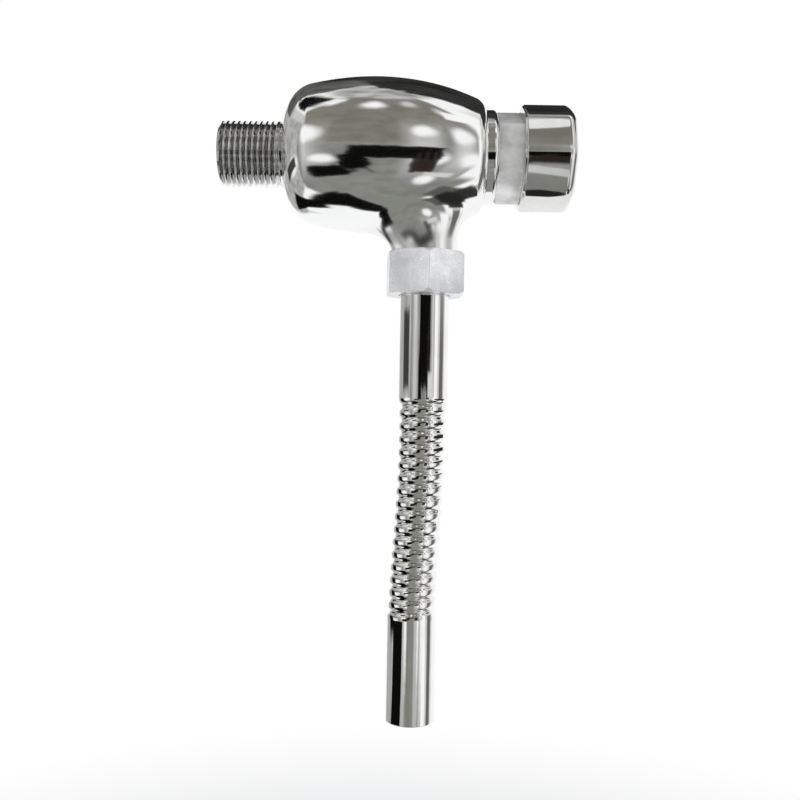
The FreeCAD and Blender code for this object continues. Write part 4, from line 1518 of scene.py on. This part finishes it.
@dataclass(frozen=True)
class Card:
    """A card of the studio that only polished metal sees: a patch of a sphere round the object.

    Azimuth 0 is on the camera's side and grows towards the button, heights grow upwards, and both are
    degrees, as a facet's width is. The edge fades over a share of the card, is eaten into by a noise, and the
    tone may be mottled. The lean is how far the top lies aside from the bottom, and the rise how far the right
    end lies above the left one.
    """

    name: str
    azimuth: Pair
    height: Pair
    tone: Tone
    distance: float = 1.6
    shape: CardShape = CardShape.SHEET
    softness: float = 0.2
    raggedness: float = 0.0
    mottle: float = 0.0
    lean: float = 0.0
    rise: float = 0.0
    facet: float = 4.0
    spot_scale: float = 7.0
    spot_detail: float = 2.0

    def build(self, centre: Vector) -> None:
        """Hang the card.

        Args:
            centre: The middle of the sphere.
        """
        columns, rows = (max(2, round(abs(end - start) / self.facet))
                         for start, end in (self.azimuth, self.height))
        points, shares, faces = [], [], []
        for i, height in enumerate(spread(*self.height, rows)):
            for k, azimuth in enumerate(spread(*self.azimuth, columns)):
                way = studio_way(azimuth + self.lean * i / rows, height + self.rise * k / columns)
                points.append(centre + way * self.distance)
                shares.append((k / columns, i / rows))
        for i in range(rows):
            for k in range(columns):
                a = i * (columns + 1) + k
                faces.append((a, a + 1, a + columns + 2, a + columns + 1))
        mesh = bpy.data.meshes.new(self.name)
        mesh.from_pydata(points, [], faces)
        layer = mesh.uv_layers.new(name="share")
        for loop in mesh.loops:
            layer.data[loop.index].uv = shares[loop.vertex_index]
        mesh.materials.append(self._glow())
        card = put_in_scene(self.name, mesh)
        card.visible_camera = card.visible_diffuse = card.visible_shadow = False

    def _glow(self) -> bpy.types.Material:
        """Make the card's material: an even shine that fades out towards the edge.

        Returns:
            The material.
        """
        made = bpy.data.materials.new(self.name + "_glow")
        maker = emptied(made)
        coordinates = maker.add("ShaderNodeTexCoord")
        u, v, _ = maker.split(maker.term(coordinates, "UV"))
        across, up = u * 2.0 - 1.0, v * 2.0 - 1.0
        if self.shape is CardShape.SHEET:
            reach = maker.math("MAXIMUM", maker.math("ABSOLUTE", across), maker.math("ABSOLUTE", up))
        elif self.shape is CardShape.DISC:
            reach = maker.math("SQRT", across * across + up * up)
        else:
            reach = v
        noise = maker.add("ShaderNodeTexNoise", None, {
            "Vector": maker.term(coordinates, "Object"), "Scale": self.spot_scale / self.distance,
            "Detail": self.spot_detail})
        spots = maker.spots(maker.term(noise))
        shown = maker.smooth((1.0 - reach - spots * self.raggedness) / self.softness)
        dim, bright = (tuple(min(1.0, part * share) for part in self.tone)
                       for share in (1.0 - self.mottle, 1.0 + self.mottle))
        shine = maker.add("ShaderNodeEmission", None,
                          {"Color": maker.mix(spots, dim, bright), "Strength": 1.0})
        clear = maker.add("ShaderNodeBsdfTransparent")
        mixed = maker.add("ShaderNodeMixShader", None, {0: shown, 1: clear, 2: shine})
        maker.add("ShaderNodeOutputMaterial", None, {"Surface": mixed})
        return made


@dataclass(frozen=True)
class Lamp:
    """A soft round lamp that faces the object: its place in degrees, its size in metres, and its power."""

    name: str
    azimuth: float
    height: float
    size: float
    power: float
    distance: float = 1.5

    def build(self, centre: Vector) -> None:
        """Hang the lamp.

        Args:
            centre: What it faces.
        """
        data = bpy.data.lights.new(self.name, "AREA")
        data.shape = "DISK"
        data.size = self.size
        data.energy = self.power
        lamp = put_in_scene(self.name, data)
        lamp.visible_glossy = False
        way = studio_way(self.azimuth, self.height)
        facing = way.to_track_quat("Z", "Y").to_matrix().to_4x4()
        lamp.matrix_world = Matrix.Translation(centre + way * self.distance) @ facing


@dataclass
class Studio:
    """The pale floor, the soft lamps, the cards that the chrome mirrors, the white ground and the camera."""

    centre: Vector = field(default_factory=lambda: Vector((0.062, 0.0, -0.03)))
    floor_z: float = -0.35
    floor_r: float = 3.0
    floor_columns: int = 96
    floor_tone: Tone = (0.93, 0.93, 0.93)
    clear_r: float = 0.22
    fade: float = 0.25
    sky_tone: Tone = (0.97, 0.98, 1.0)
    sky_strength: float = 0.75
    camera_place: tuple[float, float, float] = (0.0594, -0.294, -0.0794)
    camera_roll: float = 0.94
    lens: float = 40.5
    sensor: float = 36.0
    clip: float = 0.01

    def build(self) -> None:
        """Set up the studio."""
        self._world()
        self._floor()
        self._camera()
        for piece in (*self._cards(), *self._lamps()):
            piece.build(self.centre)

    @staticmethod
    def _cards() -> list[Card]:
        """List the cards: the grey room before the object, and the dark and bright shapes in it.

        Returns:
            The cards.
        """
        warm, cool, white = (0.215, 0.207, 0.175), (0.245, 0.25, 0.225), WHITE
        pale, dim, black = (0.62, 0.62, 0.60), (0.43, 0.43, 0.42), (0.004, 0.004, 0.003)
        disc, cap, near = CardShape.DISC, CardShape.CAP, 0.25
        return [
            Card("room_left", (-150, -44), (-56, 50), dim, 1.95, softness=0.15, mottle=0.25),
            Card("room_right", (60, 116), (-46, 66), pale, 1.95, softness=0.3, mottle=0.3),
            Card("room_upper", (-50, 54), (2, 80), warm, 1.9, softness=0.10, mottle=0.12),
            Card("room_lower", (-66, 66), (-82, 8), cool, 1.88, softness=0.10, mottle=0.12),
            Card("zenith", (-180, 180), (90, 72), dim, 1.87, cap, softness=0.3, mottle=0.4),
            Card("ceiling_left", (-200, -104), (28, 78), (0.11, 0.108, 0.10), 1.86, softness=0.12,
                 raggedness=0.1, mottle=0.3),
            Card("ceiling_right", (84, 200), (28, 87), (0.03, 0.029, 0.028), 1.85, softness=0.12,
                 raggedness=0.1, mottle=0.4),
            Card("beam_left", (-112, -46), (47, 76), (0.006, 0.006, 0.006), 1.8, softness=0.3,
                 raggedness=0.2),
            Card("ground_grey", (-70, 180), (-90, -74), cool, 1.86, cap, softness=0.15),
            Card("ground_below", (-190, -50), (-90, -76), black, 1.8, cap, softness=0.2),
            Card("ground_left", (-118, -36), (-86, -61), black, 1.8, softness=0.3),
            Card("ground_left_rise", (-112, -82), (-64, -18), black, 0.165, softness=0.2, lean=-20),
            Card("ground_right", (68, 115), (-71, -45), (0.03, 0.029, 0.027), 1.8, softness=0.3),
            Card("ground_right_front", (48, 78), (-68, -50), (0.10, 0.098, 0.09), 1.81, softness=0.4),
            Card("post_right", (76, 104), (-52, 14), (0.15, 0.145, 0.14), 1.75, softness=0.4),
            Card("window_right", (49, 70), (-44, 24), white, 1.7, softness=0.3),
            Card("haze_left", (-62, -20), (-54, 46), (0.60, 0.60, 0.59), 1.66, softness=1.0),
            Card("haze_middle", (6, 36), (-58, 52), (0.60, 0.60, 0.59), 1.66, softness=1.0),
            Card("haze_right", (32, 52), (-54, 50), (0.66, 0.66, 0.65), 1.66, softness=1.0),
            Card("lamp_one", (-55, -24), (2, 36), white, 1.6, disc, softness=0.5),
            Card("lamp_two", (12, 30), (13, 36), white, 1.6, disc, softness=0.6, raggedness=0.1),
            Card("lamp_three", (33, 50), (4, 38), white, 1.6, disc, softness=0.6, raggedness=0.1),
            Card("lamp_four", (-22, 8), (52, 72), white, 1.6, disc, softness=0.7, raggedness=0.2),
            Card("lamp_five", (-54, -30), (56, 76), white, 1.6, disc, softness=0.7, raggedness=0.2),
            Card("lamp_six", (10, 34), (56, 74), pale, 1.6, disc, softness=0.7, raggedness=0.2),
            Card("lamp_seven", (20, 40), (-56, -34), white, 1.6, disc, softness=0.6, raggedness=0.1),
            Card("lamp_eight", (-38, -17), (-25, -7), white, 1.6, disc, softness=0.7, raggedness=0.1),
            Card("lamp_nine", (-110, -54), (-28, 3), white, 1.6, disc, softness=0.6, raggedness=0.2),
            Card("lamp_ten", (-116, -34), (32, 49), pale, 1.6, softness=0.5, raggedness=0.2),
            Card("lamp_eleven", (38, 56), (-30, 4), white, 1.6, disc, softness=0.7, raggedness=0.1),
            Card("lamp_twelve", (22, 38), (-27, -2), white, 1.6, disc, softness=0.7, raggedness=0.1),
            Card("lamp_thirteen", (34, 50), (46, 64), pale, 1.6, disc, softness=0.7, raggedness=0.2),
            Card("lamp_fourteen", (54, 74), (40, 62), white, 1.6, disc, softness=0.7, raggedness=0.2),
            Card("stand_bar", (-22, 34), (-11, 8), black, near, softness=0.12, raggedness=0.1),
            Card("stand_left_post", (-26, -5), (-32, 2), black, near, softness=0.3, raggedness=0.25),
            Card("stand_foot", (-45, -16), (-37, -17), black, near, softness=0.3, raggedness=0.2),
            Card("stand_right_post", (13, 32), (-34, 4), (0.03, 0.022, 0.018), near, softness=0.2,
                 raggedness=0.2),
            Card("stand_side", (-110, -68), (-11, 2), (0.05, 0.05, 0.045), near, softness=0.3),
            Card("stand_under_button", (52, 120), (-58, -42), (0.02, 0.02, 0.018), 0.085, softness=0.25),
            Card("strip_over_button", (33, 57), (49.5, 59), white, 0.111, softness=0.25, rise=-5.5),
            Card("strip_below_button", (20, 44), (-27, -19), (0.70, 0.70, 0.69), 0.111, softness=0.4),
            Card("stand_low_left", (-90, -38), (-84, -56), black, 0.165, softness=0.1),
        ]

    @staticmethod
    def _lamps() -> list[Lamp]:
        """List the lamps.

        Returns:
            The lamps.
        """
        return [
            Lamp("lamp_left", -40.0, 49.0, 0.26, 0.9),
            Lamp("lamp_right", 42.0, 49.0, 0.26, 0.9),
            Lamp("lamp_low_left", -56.0, 8.0, 0.22, 0.5),
            Lamp("lamp_low_right", 58.0, 8.0, 0.22, 0.5),
            Lamp("lamp_top_left", -100.0, 62.0, 0.30, 1.0),
            Lamp("lamp_top", -60.0, 86.0, 0.34, 1.0),
            Lamp("lamp_top_right", 100.0, 66.0, 0.30, 1.0),
        ]

    def _world(self) -> None:
        """Make the ground white where the camera or a mirror looks, and a soft grey light elsewhere."""
        world = bpy.data.worlds.new("white_ground")
        bpy.context.scene.world = world
        maker = emptied(world)
        shown = maker.add("ShaderNodeBackground", None, {"Color": (*WHITE, 1.0), "Strength": 1.0})
        light = maker.add("ShaderNodeBackground", None,
                          {"Color": (*self.sky_tone, 1.0), "Strength": self.sky_strength})
        mixed = maker.add("ShaderNodeMixShader", None, {0: self._seen(maker), 1: light, 2: shown})
        maker.add("ShaderNodeOutputWorld", None, {"Surface": mixed})

    @staticmethod
    def _seen(maker: NodeMaker) -> Term:
        """Tell the rays of the camera, of mirrors and through glass.

        Args:
            maker: The maker of the nodes.

        Returns:
            1 for such rays, else 0.
        """
        path = maker.add("ShaderNodeLightPath")
        seen = maker.term(path, "Is Camera Ray") + maker.term(path, "Is Glossy Ray")
        return maker.within(seen + maker.term(path, "Is Transmission Ray"))

    def _floor(self) -> None:
        """Lay the pale floor, which fades into the white ground away from the object."""
        mesh = bpy.data.meshes.new("floor")
        points = [self.centre + Vector((self.floor_r * cosine, self.floor_r * sine, 0))
                  for cosine, sine in column_ways(self.floor_columns)]
        mesh.from_pydata([(p.x, p.y, self.floor_z) for p in points], [], [tuple(range(self.floor_columns))])
        made = bpy.data.materials.new("pale_floor")
        maker = emptied(made)
        x, y, _ = maker.split(maker.term(maker.add("ShaderNodeTexCoord"), "Object"))
        x, y = x - self.centre.x, y - self.centre.y
        away = maker.smooth((maker.math("SQRT", x * x + y * y) - self.clear_r) / self.fade)
        matt = maker.add("ShaderNodeBsdfDiffuse", None, {"Color": (*self.floor_tone, 1.0)})
        white = maker.add("ShaderNodeEmission", None, {"Color": (*WHITE, 1.0), "Strength": 1.0})
        mixed = maker.add("ShaderNodeMixShader", None, {0: away * self._seen(maker), 1: matt, 2: white})
        maker.add("ShaderNodeOutputMaterial", None, {"Surface": mixed})
        mesh.materials.append(made)
        floor = put_in_scene("floor", mesh)
        floor.visible_glossy = False

    def _camera(self) -> None:
        """Stand the camera where the photograph was taken from."""
        data = bpy.data.cameras.new("camera")
        data.sensor_width = self.sensor
        data.lens = self.lens
        data.clip_start = self.clip
        camera = put_in_scene("camera", data)
        turn = Matrix.Rotation(-math.radians(self.camera_roll), 4, "Y") @ Matrix.Rotation(math.pi / 2, 4, "X")
        camera.matrix_world = Matrix.Translation(self.camera_place) @ turn
        bpy.context.scene.camera = camera
        bpy.context.scene.view_settings.view_transform = "Standard"


def main() -> None:
    """Build the studio and the pieces in order."""
    logging.basicConfig(level=logging.INFO, format="%(message)s")
    for part in (Studio(), ValveBody(), PushButton(), FlushPipe(), ReturnSpring(), InnerPieces()):
        LOG.info("building %s", type(part).__name__)
        part.build()


if __name__ == "__main__":
    main()
